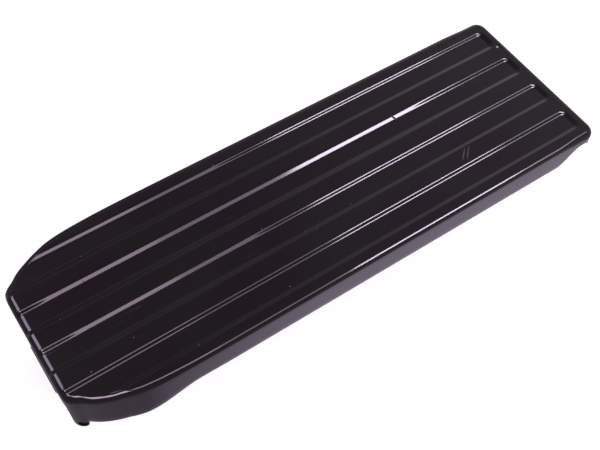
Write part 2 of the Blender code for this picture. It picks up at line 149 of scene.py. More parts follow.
pin_low, pin_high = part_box("hinge_pin")
HINGE_X = (pin_low[0] + pin_high[0]) / 2.0 / METRES
HINGE_Z = (pin_low[2] + pin_high[2]) / 2.0 / METRES
ON_TREAD = (Matrix.Translation((HINGE_X, 0.0, HINGE_Z)) @ Matrix.Rotation(-REST_TILT, 4, "Y")
            @ Matrix.Translation((-AXIS_X, 0.0, -AXIS_Z)))
UNDER_FACE = -CHANNEL_DEPTH - SHEET - GAP         # top of what is welded on, in the tread's frame
BRACKET_X = STOP_X / math.cos(REST_TILT) + AXIS_X


# --- Mesh helpers -------------------------------------------------------------------------------

def spread(stretches):
    """Places along a line: each stretch is (start, end, spacing)."""
    places = [stretches[0][0]]
    for start, end, spacing in stretches:
        count = max(1, round((end - start) / spacing))
        places += [start + (end - start) * (step + 1) / count for step in range(count)]
    return places


def smooth_step(value, low, high):
    """0 below low, 1 above high, and a smooth S between them."""
    share = min(max((value - low) / (high - low), 0.0), 1.0)
    return share * share * (3.0 - 2.0 * share)


def smooth_curve(points, x):
    """Value at x of a smooth rising curve through points, flat outside them."""
    if x >= points[-1][0]:
        return points[-1][1]
    rises = [(b[1] - a[1]) / (b[0] - a[0]) for a, b in zip(points, points[1:])]
    slopes = [rises[0]]
    for before, after in zip(rises, rises[1:]):
        slopes.append(2.0 * before * after / (before + after))
    slopes.append(rises[-1])
    index = max(i for i, point in enumerate(points[:-1]) if point[0] <= x + 1e-9)
    (x0, y0), (x1, y1) = points[index], points[index + 1]
    run = x1 - x0
    t = (x - x0) / run
    return (y0 * (1 + 2 * t) * (1 - t) ** 2 + slopes[index] * run * t * (1 - t) ** 2
            + y1 * t * t * (3 - 2 * t) + slopes[index + 1] * run * t * t * (t - 1))


def rounded(points, steps=6, closed=True):
    """An outline whose corners, given as (a, b, radius), are filleted."""
    outline = []
    count = len(points)
    for index, (a, b, radius) in enumerate(points):
        corner = Vector((a, b))
        if radius <= 0.0 or (not closed and index in (0, count - 1)):
            outline.append(corner)
            continue
        back = Vector(points[index - 1][:2]) - corner
        ahead = Vector(points[(index + 1) % count][:2]) - corner
        half = back.angle(ahead) / 2.0
        if math.pi / 2.0 - half < 0.01:
            outline.append(corner)
            continue
        reach = min(radius / math.tan(half), 0.49 * back.length, 0.49 * ahead.length)
        radius = reach * math.tan(half)
        back.normalize()
        ahead.normalize()
        centre = corner + (back + ahead).normalized() * radius / math.sin(half)
        first = corner + back * reach - centre
        turn = first.angle_signed(corner + ahead * reach - centre)
        for step in range(steps + 1):
            outline.append(centre + Matrix.Rotation(-turn * step / steps, 2) @ first)
    return outline


def strip(path, thick, steps=8):
    """The outline of a bent strip of sheet, given its middle line as (a, b, radius) points."""
    line = rounded(path, steps, closed=False)
    left = []
    right = []
    for index, point in enumerate(line):
        run = line[min(index + 1, len(line) - 1)] - line[max(index - 1, 0)]
        side = Vector((-run.y, run.x)).normalized() * thick / 2.0
        left.append(point + side)
        right.append(point - side)
    return left + right[::-1]


def prism(outline, plane, low, high):
    """A flat outline in the XZ, YZ or XY plane, pushed from low to high along the third axis."""
    bm = bmesh.new()
    place = {"XZ": lambda a, b: (a, low, b), "YZ": lambda a, b: (low, a, b),
             "XY": lambda a, b: (a, b, low)}[plane]
    push = {"XZ": (0.0, high - low, 0.0), "YZ": (high - low, 0.0, 0.0),
            "XY": (0.0, 0.0, high - low)}[plane]
    face = bm.faces.new([bm.verts.new(place(a, b)) for a, b in outline])
    pushed = bmesh.ops.extrude_face_region(bm, geom=[face])
    moved = [item for item in pushed["geom"] if isinstance(item, bmesh.types.BMVert)]
    bmesh.ops.translate(bm, vec=push, verts=moved)
    bmesh.ops.recalc_face_normals(bm, faces=bm.faces)
    return bm


def lathe(profile, segments=72):
    """A profile of (radius, height) points turned round the Z axis into a closed body."""
    bm = bmesh.new()
    verts = [bm.verts.new((max(radius, 0.0), 0.0, height)) for radius, height in profile]
    edges = [bm.edges.new(pair) for pair in zip(verts, verts[1:])]
    if profile[0][0] > 0.0:
        edges.append(bm.edges.new((verts[-1], verts[0])))
    bmesh.ops.spin(bm, geom=verts + edges, cent=(0.0, 0.0, 0.0), axis=(0.0, 0.0, 1.0),
                   angle=math.tau, steps=segments, use_merge=True)
    bmesh.ops.remove_doubles(bm, verts=bm.verts, dist=0.0005)
    bmesh.ops.recalc_face_normals(bm, faces=bm.faces)
    return bm


def drill(radius, low, high, segments=48):
    """A round cutter along the Z axis."""
    return lathe([(0.0, low), (radius, low), (radius, high), (0.0, high)], segments)


def shell(verts, faces):
    """A body from its vertices and faces."""
    mesh = bpy.data.meshes.new("shell")
    mesh.from_pydata(verts, [], faces)
    bm = bmesh.new()
    bm.from_mesh(mesh)
    bpy.data.meshes.remove(mesh)
    return bm


def make(name, bm, finish, matrix=Matrix.Identity(4), sharp=38.0):
    """A piece at the origin, in metres, with its place in its mesh."""
    bm.transform(Matrix.Scale(METRES, 4) @ matrix)
    mesh = bpy.data.meshes.new(name)
    bm.to_mesh(mesh)
    bm.free()
    mesh.shade_smooth()
    mesh.set_sharp_from_angle(angle=math.radians(sharp))
    mesh.materials.append(finish)
    piece = bpy.data.objects.new(name, mesh)
    bpy.context.scene.collection.objects.link(piece)
    return piece


def settle(piece, sharp=38.0):
    """Replace a piece's mesh by what its modifiers make of it, and drop the modifiers."""
    bpy.context.view_layer.update()
    shown = piece.evaluated_get(bpy.context.evaluated_depsgraph_get())
    mesh = bpy.data.meshes.new_from_object(shown)
    piece.modifiers.clear()
    piece.data = mesh
    mesh.name = piece.name
    mesh.shade_smooth()
    mesh.set_sharp_from_angle(angle=math.radians(sharp))


def carve(piece, operation, *tools):
    """Join, cut or intersect a piece with other bodies, which are then removed."""
    operands = [make(f"{piece.name}_tool", bm, piece.data.materials[0], matrix)
                for bm, matrix in tools]
    for operand in operands:
        modifier = piece.modifiers.new("Carve", "BOOLEAN")
        modifier.operation = operation
        modifier.object = operand
        modifier.solver = "EXACT"
    settle(piece)
    for operand in operands:
        bpy.data.objects.remove(operand, do_unlink=True)


def soften(piece, width, segments=3, angle=40.0):
    """Round a piece's edges by a width in millimetres."""
    modifier = piece.modifiers.new("Bevel", "BEVEL")
    modifier.width = width * METRES
    modifier.segments = segments
    modifier.limit_method = "ANGLE"
    modifier.angle_limit = math.radians(angle)
    modifier.use_clamp_overlap = False
    settle(piece, 50.0)


def fit(piece, body, finish_slot, *nodes):
    """Hang a piece on its CAD body and hide the CAD nodes that it stands for. The finish slot is
    not used.
    """
    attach(piece, body)
    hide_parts(*nodes)


def at(x, y=0.0, z=0.0):
    """Where something stands on the base: x from the hinge, y across, z from the floor."""
    return Matrix.Translation((HINGE_X + x, y, z))


# --- Node helpers -------------------------------------------------------------------------------

def hex_colour(code):
    """An sRGB hex code as linear RGBA."""
    channels = [int(code[i:i + 2], 16) / 255.0 for i in (1, 3, 5)]
    return tuple(c / 12.92 if c <= 0.04045 else ((c + 0.055) / 1.055) ** 2.4
                 for c in channels) + (1.0,)


def features(millimetres):
    """Texture scale that gives features of that many millimetres on Object coordinates."""
    return 1000.0 / millimetres


def feed(tree, node, inputs):
    """Set a node's inputs by name or number. Each takes a value, another node's output, or another
    node, whose first output in use is then linked."""
    for key, value in inputs.items():
        if isinstance(value, bpy.types.Node):
            value = next(output for output in value.outputs if output.enabled)
        if isinstance(value, bpy.types.NodeSocket):
            tree.links.new(value, node.inputs[key])
        else:
            node.inputs[key].default_value = value


def add(tree, kind, inputs=None, **settings):
    """A new node with its settings and its inputs."""
    node = tree.nodes.new(kind)
    for name, value in settings.items():
        setattr(node, name, value)
    feed(tree, node, inputs or {})
    return node


def new_material(name):
    """A material with its tree, its Principled shader and its Object coordinates."""
    material = bpy.data.materials.new(name)
    material.use_nodes = True
    tree = material.node_tree
    shader = tree.nodes["Principled BSDF"]
    where = add(tree, "ShaderNodeTexCoord").outputs["Object"]
    return material, tree, shader, where


def mark(tree, where, place, size, turn=0.0):
    """A single oval mark: 1 inside it and 0 outside. Place and size are in millimetres."""
    centre = tuple(part * METRES for part in place) + (0.0,)
    spans = tuple(part * METRES for part in size) + (1.0,)
    local = add(tree, "ShaderNodeMapping", {"Vector": where, "Location": centre, "Scale": spans,
                                            "Rotation": (0.0, 0.0, turn)}, vector_type="TEXTURE")
    reach = add(tree, "ShaderNodeVectorMath", {0: local}, operation="LENGTH")
    return add(tree, "ShaderNodeMapRange", {"Value": reach, "From Min": 0.35, "From Max": 0.5,
                                            "To Min": 1.0, "To Max": 0.0})


# --- Finishes -----------------------------------------------------------------------------------

def stove_enamel():
    """Black stove enamel, dipped and baked on pressed steel. The eye gets a deep plum-black gloss
    whose reflections wander slightly with the orange peel, a duller film in the channels where
    shoe dust settles, hairline scuffs along the tread, and a few pale specks and pin chips."""
    material, tree, shader, where = new_material("black stove enamel on pressed steel")

    # Coordinates laid along the tread: x from heel to toe, y across it, z off its face
    back = ON_TREAD.inverted()
    along = add(tree, "ShaderNodeMapping", {"Vector": where, "Rotation": back.to_euler(),
                                            "Location": back.translation * METRES})

    # Two near blacks in clouds about 45 mm across
    cloud = add(tree, "ShaderNodeTexNoise", {"Vector": along, "Scale": features(45.0),
                                             "Detail": 4.0})
    cloudy = add(tree, "ShaderNodeMapRange", {"Value": cloud, "From Min": 0.35, "From Max": 0.65})
    tone = add(tree, "ShaderNodeMix", {"Factor": cloudy, "A": hex_colour("#1c1219"),
                                       "B": hex_colour("#201a1b")}, data_type="RGBA")

    # Scuffs: streaks about 0.25 mm wide and 20 mm long, gathered in patches
    streaked = add(tree, "ShaderNodeMapping", {"Vector": along, "Scale": (0.03, 1.0, 1.0)})
    streak = add(tree, "ShaderNodeTexNoise", {"Vector": streaked, "Scale": features(0.7),
                                              "Detail": 2.0})
    streaky = add(tree, "ShaderNodeMapRange", {"Value": streak, "From Min": 0.66,
                                               "From Max": 0.74})
    patch = add(tree, "ShaderNodeTexNoise", {"Vector": along, "Scale": features(28.0),
                                             "Detail": 1.0})
    patchy = add(tree, "ShaderNodeMapRange", {"Value": patch, "From Min": 0.5, "From Max": 0.7})
    scuff = add(tree, "ShaderNodeMath", {0: streaky, 1: patchy}, operation="MULTIPLY")
    scuffed = add(tree, "ShaderNodeMath", {0: scuff, 1: 0.35}, operation="MULTIPLY")
    tone = add(tree, "ShaderNodeMix", {"Factor": scuffed, "A": tone,
                                       "B": hex_colour("#5b525a")}, data_type="RGBA")

    # Dust specks about half a millimetre across, in one of every eight 5 mm cells
    cells = add(tree, "ShaderNodeTexVoronoi", {"Vector": along, "Scale": features(5.0)})
    spot = add(tree, "ShaderNodeMapRange", {"Value": cells, "From Min": 0.03, "From Max": 0.07,
                                            "To Min": 1.0, "To Max": 0.0})
    chance = add(tree, "ShaderNodeSeparateColor", {"Color": cells.outputs["Color"]})
    rare = add(tree, "ShaderNodeMapRange", {"Value": chance, "From Min": 0.88, "From Max": 0.9})
    speck = add(tree, "ShaderNodeMath", {0: spot, 1: rare}, operation="MULTIPLY")
    tone = add(tree, "ShaderNodeMix", {"Factor": speck, "A": tone, "B": hex_colour("#6f6a72")},
               data_type="RGBA")

    # Two scratches across the tread, a pale drip by the toe, and one chip on a channel's
    # shoulder, down to dark primer
    scratches = add(tree, "ShaderNodeMath", {
        0: mark(tree, along, (203.3, -19.6), (0.7, 8.5), -0.82),
        1: mark(tree, along, (205.5, -20.0), (0.6, 9.0), -0.8)}, operation="MAXIMUM")
    faint = add(tree, "ShaderNodeMath", {0: scratches, 1: 0.8}, operation="MULTIPLY")
    tone = add(tree, "ShaderNodeMix", {"Factor": faint, "A": tone, "B": hex_colour("#7d6262")},
               data_type="RGBA")
    drip = mark(tree, along, (260.1, 23.1), (1.4, 1.4))
    tone = add(tree, "ShaderNodeMix", {"Factor": drip, "A": tone, "B": hex_colour("#d9d6da")},
               data_type="RGBA")
    chip = mark(tree, along, (189.6, 14.9), (1.1, 3.4), 0.5)
    tone = add(tree, "ShaderNodeMix", {"Factor": chip, "A": tone, "B": hex_colour("#0d090b")},
               data_type="RGBA")

    # A thin greasy film varies the gloss, which is duller in the channels, in scuffs and at flaws
    film = add(tree, "ShaderNodeTexNoise", {"Vector": along, "Scale": features(9.0),
                                            "Detail": 5.0, "Roughness": 0.6})
    gloss = add(tree, "ShaderNodeMapRange", {"Value": film, "From Min": 0.3, "From Max": 0.7,
                                             "To Min": 0.07, "To Max": 0.1})
    hollow = add(tree, "ShaderNodeAttribute", attribute_name="hollow").outputs["Fac"]
    gloss = add(tree, "ShaderNodeMath", {0: hollow, 1: 0.02, 2: gloss}, operation="MULTIPLY_ADD")
    gloss = add(tree, "ShaderNodeMath", {0: scuff, 1: 0.25, 2: gloss}, operation="MULTIPLY_ADD")
    flaws = add(tree, "ShaderNodeMath", {0: speck, 1: chip}, operation="MAXIMUM")
    gloss = add(tree, "ShaderNodeMath", {0: flaws, 1: 0.7, 2: gloss}, operation="MULTIPLY_ADD",
                use_clamp=True)

    # Orange peel 2 mm apart and about a micron high, over 22 mm waves that the press left, with
    # the specks standing 0.06 mm proud
    wave = add(tree, "ShaderNodeTexNoise", {"Vector": along, "Scale": features(22.0),
                                            "Detail": 0.0})
    waves = add(tree, "ShaderNodeBump", {"Height": wave, "Distance": 0.00005, "Strength": 1.0})
    peel = add(tree, "ShaderNodeTexNoise", {"Vector": along, "Scale": features(2.0),
                                            "Detail": 1.0})
    peels = add(tree, "ShaderNodeBump", {"Height": peel, "Distance": 0.0000012, "Strength": 1.0,
                                         "Normal": waves})
    specks = add(tree, "ShaderNodeBump", {"Height": speck, "Distance": 0.00006, "Strength": 1.0,
                                          "Normal": peels})
    feed(tree, shader, {"Base Color": tone, "Roughness": gloss, "Normal": specks, "IOR": 1.45,
                        "Specular Tint": hex_colour("#e2d6ea")})
    return material


def blackened_steel():
    """Steel blackened in a hot phosphate bath: a crystalline matt grey-black, cloudy over
    centimetres and grainy at a third of a millimetre, with brown where the oil has thinned."""
    material, tree, shader, where = new_material("phosphate-blackened steel")
    cloud = add(tree, "ShaderNodeTexNoise", {"Vector": where, "Scale": features(14.0),
                                             "Detail": 6.0, "Roughness": 0.65})
    cloudy = add(tree, "ShaderNodeMapRange", {"Value": cloud, "From Min": 0.35, "From Max": 0.65})
    tone = add(tree, "ShaderNodeMix", {"Factor": cloudy, "A": hex_colour("#222123"),
                                       "B": hex_colour("#363437")}, data_type="RGBA")
    thinned = add(tree, "ShaderNodeMapRange", {"Value": cloud, "From Min": 0.62,
                                               "From Max": 0.75, "To Max": 0.5})
    tone = add(tree, "ShaderNodeMix", {"Factor": thinned, "A": tone, "B": hex_colour("#3a2c24")},
               data_type="RGBA")
    grain = add(tree, "ShaderNodeTexNoise", {"Vector": where, "Scale": features(0.35),
                                             "Detail": 2.0})
    grainy = add(tree, "ShaderNodeMapRange", {"Value": grain, "From Min": 0.55, "From Max": 0.75,
                                              "To Max": 0.4})
    tone = add(tree, "ShaderNodeMix", {"Factor": grainy, "A": tone, "B": hex_colour("#5a5a5e")},
               data_type="RGBA")
    rough = add(tree, "ShaderNodeMapRange", {"Value": cloud, "From Min": 0.3, "From Max": 0.7,
                                             "To Min": 0.42, "To Max": 0.6})
    bump = add(tree, "ShaderNodeBump", {"Height": grain, "Distance": 0.00002, "Strength": 0.7})
    feed(tree, shader, {"Base Color": tone, "Roughness": rough, "Normal": bump, "Metallic": 0.75})
    return material


def zinc_plate():
    """Bright zinc plate with a clear passivate: bluish silver that turns faintly straw-yellow and
    violet in patches a few millimetres wide, over fine drawing lines."""
    material, tree, shader, where = new_material("passivated zinc plate")
    patch = add(tree, "ShaderNodeTexNoise", {"Vector": where, "Scale": features(5.0),
                                             "Detail": 3.0})
    straw = add(tree, "ShaderNodeMapRange", {"Value": patch, "From Min": 0.4, "From Max": 0.6})
    tone = add(tree, "ShaderNodeMix", {"Factor": straw, "A": hex_colour("#b9bdc4"),
                                       "B": hex_colour("#cfc9b4")}, data_type="RGBA")
    violet = add(tree, "ShaderNodeMapRange", {"Value": patch, "From Min": 0.6, "From Max": 0.7,
                                              "To Max": 0.5})
    tone = add(tree, "ShaderNodeMix", {"Factor": violet, "A": tone, "B": hex_colour("#b5a9bd")},
               data_type="RGBA")
    lines = add(tree, "ShaderNodeTexNoise", {"Vector": where, "Scale": features(0.4),
                                             "Detail": 3.0})
    rough = add(tree, "ShaderNodeMapRange", {"Value": lines, "From Min": 0.3, "From Max": 0.7,
                                             "To Min": 0.22, "To Max": 0.38})
    bump = add(tree, "ShaderNodeBump", {"Height": lines, "Distance": 0.000008, "Strength": 0.6})
    feed(tree, shader, {"Base Color": tone, "Roughness": rough, "Normal": bump, "Metallic": 1.0})
    return material


def spring_steel():
    """Oil-hardened spring wire: blue-black scale that shows warm steel where the coils rub, with
    a thin oil film that makes it shine unevenly."""
    material, tree, shader, where = new_material("oil-tempered spring steel wire")
    film = add(tree, "ShaderNodeTexNoise", {"Vector": where, "Scale": features(3.0),
                                            "Detail": 5.0, "Roughness": 0.7})
    rubbed = add(tree, "ShaderNodeMapRange", {"Value": film, "From Min": 0.4, "From Max": 0.65})
    tone = add(tree, "ShaderNodeMix", {"Factor": rubbed, "A": hex_colour("#3c4048"),
                                       "B": hex_colour("#7c756c")}, data_type="RGBA")
    rough = add(tree, "ShaderNodeMapRange", {"Value": film, "From Min": 0.3, "From Max": 0.7,
                                             "To Min": 0.2, "To Max": 0.42})
    scale = add(tree, "ShaderNodeTexNoise", {"Vector": where, "Scale": features(0.3)})
    bump = add(tree, "ShaderNodeBump", {"Height": scale, "Distance": 0.00001, "Strength": 0.5})
    feed(tree, shader, {"Base Color": tone, "Roughness": rough, "Normal": bump, "Metallic": 1.0})
    return material


def moulded_rubber():
    """Compression-moulded black rubber: dull charcoal with a sanded-mould grain and a pale bloom
    of talc and floor dust in patches."""
    material, tree, shader, where = new_material("moulded black rubber")
    bloom = add(tree, "ShaderNodeTexNoise", {"Vector": where, "Scale": features(6.0),
                                             "Detail": 6.0, "Roughness": 0.7})
    dusty = add(tree, "ShaderNodeMapRange", {"Value": bloom, "From Min": 0.45, "From Max": 0.75})
    tone = add(tree, "ShaderNodeMix", {"Factor": dusty, "A": hex_colour("#1a1a1b"),
                                       "B": hex_colour("#3c3b3a")}, data_type="RGBA")
    rough = add(tree, "ShaderNodeMapRange", {"Value": bloom, "From Min": 0.3, "From Max": 0.7,
                                             "To Min": 0.62, "To Max": 0.85})
    grain = add(tree, "ShaderNodeTexNoise", {"Vector": where, "Scale": features(0.35),
                                             "Detail": 2.0})
    bump = add(tree, "ShaderNodeBump", {"Height": grain, "Distance": 0.00003, "Strength": 0.8})
    feed(tree, shader, {"Base Color": tone, "Roughness": rough, "Normal": bump})
    return material


def natural_nylon():
    """Turned natural nylon: warm translucent white with fine turning marks and a soft shine."""
    material, tree, shader, where = new_material("natural nylon")
    mottle = add(tree, "ShaderNodeTexNoise", {"Vector": where, "Scale": features(4.0),
                                              "Detail": 3.0})
    mottled = add(tree, "ShaderNodeMapRange", {"Value": mottle, "From Min": 0.35,
                                               "From Max": 0.65})
    tone = add(tree, "ShaderNodeMix", {"Factor": mottled, "A": hex_colour("#d8d2c0"),
                                       "B": hex_colour("#c9c1aa")}, data_type="RGBA")
    rough = add(tree, "ShaderNodeMapRange", {"Value": mottle, "From Min": 0.3, "From Max": 0.7,
                                             "To Min": 0.38, "To Max": 0.5})
    marks = add(tree, "ShaderNodeTexWave", {"Vector": where, "Scale": features(3.0)},
                bands_direction="Y")
    bump = add(tree, "ShaderNodeBump", {"Height": marks.outputs["Fac"], "Distance": 0.00001,
                                        "Strength": 0.5})
    feed(tree, shader, {"Base Color": tone, "Roughness": rough, "Normal": bump,
                        "Subsurface Weight": 0.15, "Subsurface Scale": 0.0015})
    return material


def studio_board():
    """Matt white studio board, lit a little from inside so that shadows stay pale. Seen from
    under, it is clear, so that the pedal's underside shows."""
    material, tree, shader, where = new_material("matt white studio board")
    cloud = add(tree, "ShaderNodeTexNoise", {"Vector": where, "Scale": features(300.0)})
    tone = add(tree, "ShaderNodeMix", {"Factor": cloud, "A": hex_colour("#dedddd"),
                                       "B": hex_colour("#e3e2e2")}, data_type="RGBA")
    feed(tree, shader, {"Base Color": tone, "Roughness": 0.9, "Specular IOR Level": 0.1,
                        "Emission Color": hex_colour("#fbf9fb"), "Emission Strength": 0.8})
    under = add(tree, "ShaderNodeNewGeometry").outputs["Backfacing"]
    clear = add(tree, "ShaderNodeBsdfTransparent")
    both = add(tree, "ShaderNodeMixShader", {0: under, 1: shader, 2: clear})
    feed(tree, tree.nodes["Material Output"], {"Surface": both})
    return material


# --- Geometry node trees ------------------------------------------------------------------------

FLOAT = "NodeSocketFloat"
INTEGER = "NodeSocketInt"
VECTOR = "NodeSocketVector"


def new_tree(name, sizes):
    """A geometry tree with a geometry in and out and one named input for each size."""
    tree = bpy.data.node_groups.new(name, "GeometryNodeTree")
    tree.interface.new_socket("Geometry", in_out="INPUT", socket_type="NodeSocketGeometry")
    for size, kind in sizes:
        tree.interface.new_socket(size, in_out="INPUT", socket_type=kind)
    tree.interface.new_socket("Geometry", in_out="OUTPUT", socket_type="NodeSocketGeometry")
    return tree, add(tree, "NodeGroupInput").outputs


def end_tree(tree, geometry, finish):
    """Real mesh with the finish set, out of the tree."""
    real = add(tree, "GeometryNodeRealizeInstances", {"Geometry": geometry})
    painted = add(tree, "GeometryNodeSetMaterial", {"Geometry": real, "Material": finish})
    add(tree, "NodeGroupOutput", {"Geometry": painted})


def run_tree(piece, tree, values):
    """Run a tree on a piece with its inputs set, and keep the result as a plain mesh."""
    modifier = piece.modifiers.new(tree.name, "NODES")
    modifier.node_group = tree
    for item in tree.interface.items_tree:
        if item.in_out == "INPUT" and item.name in values:
            modifier[item.identifier] = values[item.name]
    settle(piece)


def four_corners_tree(name, finish):
    """Copies of a piece on the corners of a rectangle, each given its own random turn."""
    tree, size = new_tree(name, [
        ("Length", FLOAT), ("Width", FLOAT), ("Centre", VECTOR), ("Most Turn", FLOAT),
        ("Seed", INTEGER)])
    corners = add(tree, "GeometryNodeMeshGrid", {"Size X": size["Length"], "Size Y": size["Width"],
                                                 "Vertices X": 2, "Vertices Y": 2})
    moved = add(tree, "GeometryNodeSetPosition", {"Geometry": corners, "Offset": size["Centre"]})
    turn = add(tree, "FunctionNodeRandomValue", {"Min": 0.0, "Max": size["Most Turn"],
                                                 "Seed": size["Seed"]})
    turned = add(tree, "ShaderNodeCombineXYZ", {"Z": turn})
    copies = add(tree, "GeometryNodeInstanceOnPoints", {
        "Points": moved, "Instance": size["Geometry"], "Rotation": turned})
    end_tree(tree, copies, finish)
    return tree


def spring_tree(finish):
    """A compression spring with closed ends whose top leans with the seat above it."""
    tree, size = new_tree("closed_end_spring", [
        ("Radius", FLOAT), ("Wire", FLOAT), ("Turns", FLOAT), ("Low", FLOAT), ("High", FLOAT),
        ("Closed", FLOAT), ("Lean", FLOAT), ("Centre", VECTOR), ("Steps", INTEGER)])
    line = add(tree, "GeometryNodeCurvePrimitiveLine")
    fine = add(tree, "GeometryNodeResampleCurve", {"Curve": line, "Count": size["Steps"]})
    share = add(tree, "GeometryNodeSplineParameter")
    turn = add(tree, "ShaderNodeMath", {0: share, 1: size["Turns"]}, operation="MULTIPLY")

    # Rise: slow over the first and the last turn, which lie closed, and even between them
    last = add(tree, "ShaderNodeMath", {0: size["Turns"], 1: 1.0}, operation="SUBTRACT")
    tall = add(tree, "ShaderNodeMath", {0: size["High"], 1: size["Low"]}, operation="SUBTRACT")
    ends = add(tree, "ShaderNodeMath", {0: size["Closed"], 1: 2.0}, operation="MULTIPLY")
    free = add(tree, "ShaderNodeMath", {0: tall, 1: ends}, operation="SUBTRACT")
    first_coil = add(tree, "ShaderNodeMapRange", {"Value": turn, "To Max": size["Closed"]})
    middle = add(tree, "ShaderNodeMapRange", {"Value": turn, "From Min": 1.0, "From Max": last,
                                              "To Max": free})
    last_coil = add(tree, "ShaderNodeMapRange", {"Value": turn, "From Min": last,
                                                 "From Max": size["Turns"],
                                                 "To Max": size["Closed"]})
    rise = add(tree, "ShaderNodeMath", {0: first_coil, 1: middle}, operation="ADD")
    rise = add(tree, "ShaderNodeMath", {0: rise, 1: last_coil}, operation="ADD")

    angle = add(tree, "ShaderNodeMath", {0: turn, 1: math.tau}, operation="MULTIPLY")
    cosine = add(tree, "ShaderNodeMath", {0: angle}, operation="COSINE")
    sine = add(tree, "ShaderNodeMath", {0: angle}, operation="SINE")
    x = add(tree, "ShaderNodeMath", {0: cosine, 1: size["Radius"]}, operation="MULTIPLY")
    y = add(tree, "ShaderNodeMath", {0: sine, 1: size["Radius"]}, operation="MULTIPLY")
    slant = add(tree, "ShaderNodeMath", {0: x, 1: size["Lean"]}, operation="MULTIPLY")
    lean = add(tree, "ShaderNodeMath", {0: slant, 1: share}, operation="MULTIPLY")
    height = add(tree, "ShaderNodeMath", {0: size["Low"], 1: rise}, operation="ADD")
    z = add(tree, "ShaderNodeMath", {0: height, 1: lean}, operation="ADD")
    coil = add(tree, "ShaderNodeCombineXYZ", {"X": x, "Y": y, "Z": z})
    placed = add(tree, "ShaderNodeVectorMath", {0: coil, 1: size["Centre"]}, operation="ADD")

    wound = add(tree, "GeometryNodeSetPosition", {"Geometry": fine, "Position": placed})
    wire = add(tree, "GeometryNodeCurvePrimitiveCircle", {"Radius": size["Wire"],
                                                          "Resolution": 14})
    swept = add(tree, "GeometryNodeCurveToMesh", {"Curve": wound, "Profile Curve": wire,
                                                  "Fill Caps": True})
    end_tree(tree, swept, finish)
    return tree


# --- Tread --------------------------------------------------------------------------------------

def wall_width(index, x):
    """Width of a channel's walls: wider where the sheet has sprung back after pressing."""
    _, start, end, gain = PRESSED[index]
    return CHANNEL_WALL * (1.0 + gain * smooth_step(x, start - 8.0, start + 8.0) * (
        1.0 - smooth_step(x, end - 16.0, end + 16.0)))


def channel_depth(x, y):
    """Depth of the pressed channels at a place on the face: S-shaped walls, rounded toe ends."""
    deepest = 0.0
    for index in range(4):
        across = abs(y - OFF_CENTRE - (index - 1.5) * CHANNEL_PITCH)
        across -= CHANNEL_WIDTH / 2.0 - CHANNEL_CORNER
        along = x - CHANNEL_TOE_END + CHANNEL_CORNER
        outside = (math.hypot(max(across, 0.0), max(along, 0.0))
                   + min(max(across, along), 0.0) - CHANNEL_CORNER)
        share = min(max(0.5 - outside / wall_width(index, x), 0.0), 1.0)
        depth = CHANNEL_DEPTH * PRESSED[index][0] * (1.0 - math.cos(math.pi * share)) / 2.0
        deepest = max(deepest, depth)
    return deepest


def bend_radii(x):
    """The two radii of the bend: equal at the ends of the tread, and different along its sides."""
    opening = 0.6 * smooth_step(x, 4.0, 12.0) + 0.4 * smooth_step(x, 30.0, 55.0)
    opening *= 1.0 - smooth_step(x, 240.0, 257.0)
    return BEND + (CROWN - BEND) * opening, BEND + (SIDE_BEND - BEND) * opening


def bend_place(x, angle):
    """How far out and down the bend has come at an angle round it."""
    crown, bend = bend_radii(x)
    first = min(angle, CROWN_ANGLE)
    out = crown * math.sin(first) + bend * (math.sin(angle) - math.sin(first))
    down = crown * (1.0 - math.cos(first)) + bend * (math.cos(first) - math.cos(angle))
    return out, down


def face_half_width(x):
    """Half-width of the flat face: the heel's corner cuts, then straight, then the toe corners."""
    run = min(max(x - (LENGTH - BEND - TOE_CORNER), 0.0), TOE_CORNER)
    corner = TOE_CORNER - math.sqrt(TOE_CORNER ** 2 - run ** 2)
    slope = (smooth_curve(HEEL_CUT, x + 0.2) - smooth_curve(HEEL_CUT, x)) / 0.2
    inset = (bend_place(x, math.pi / 2.0)[0] - BEND) * math.hypot(1.0, slope)
    return smooth_curve(HEEL_CUT, x) - corner - inset


def ear_depth(x, y):
    """Depth of the hinge ear's round end below the face, and how far the place is from the ear's
    middle. The depth is 0 beside the ear."""
    stretch = math.hypot(1.0, EAR_SLOPE)
    offset = (x - EAR_X + (abs(y) - EAR_SIDE) * EAR_SLOPE) / stretch
    if abs(offset) > EAR_RADIUS:
        return 0.0, offset
    return -AXIS_Z + math.sqrt(EAR_RADIUS ** 2 - offset ** 2), offset


def flange_depth(x, y):
    """Depth of the flange's lower edge at a place on the outline."""
    depth, offset = ear_depth(x, y)
    if depth > 0.0:
        return depth
    if offset < 0.0 or abs(y) < EAR_SIDE - EAR_RADIUS:
        return HEEL_SKIRT_DEPTH if x < LENGTH / 2.0 else TOE_LIP_DEPTH
    side = HEEL_FLANGE_DEPTH
    side -= (HEEL_FLANGE_DEPTH - FLANGE_DEPTH) * smooth_step(x, 26.0, 52.0)
    side -= (FLANGE_DEPTH - SIDE_LIP_DEPTH) * smooth_step(x, 244.0, 256.5)
    return side + (TOE_LIP_DEPTH - SIDE_LIP_DEPTH) * smooth_step(x, 261.0, 262.5)


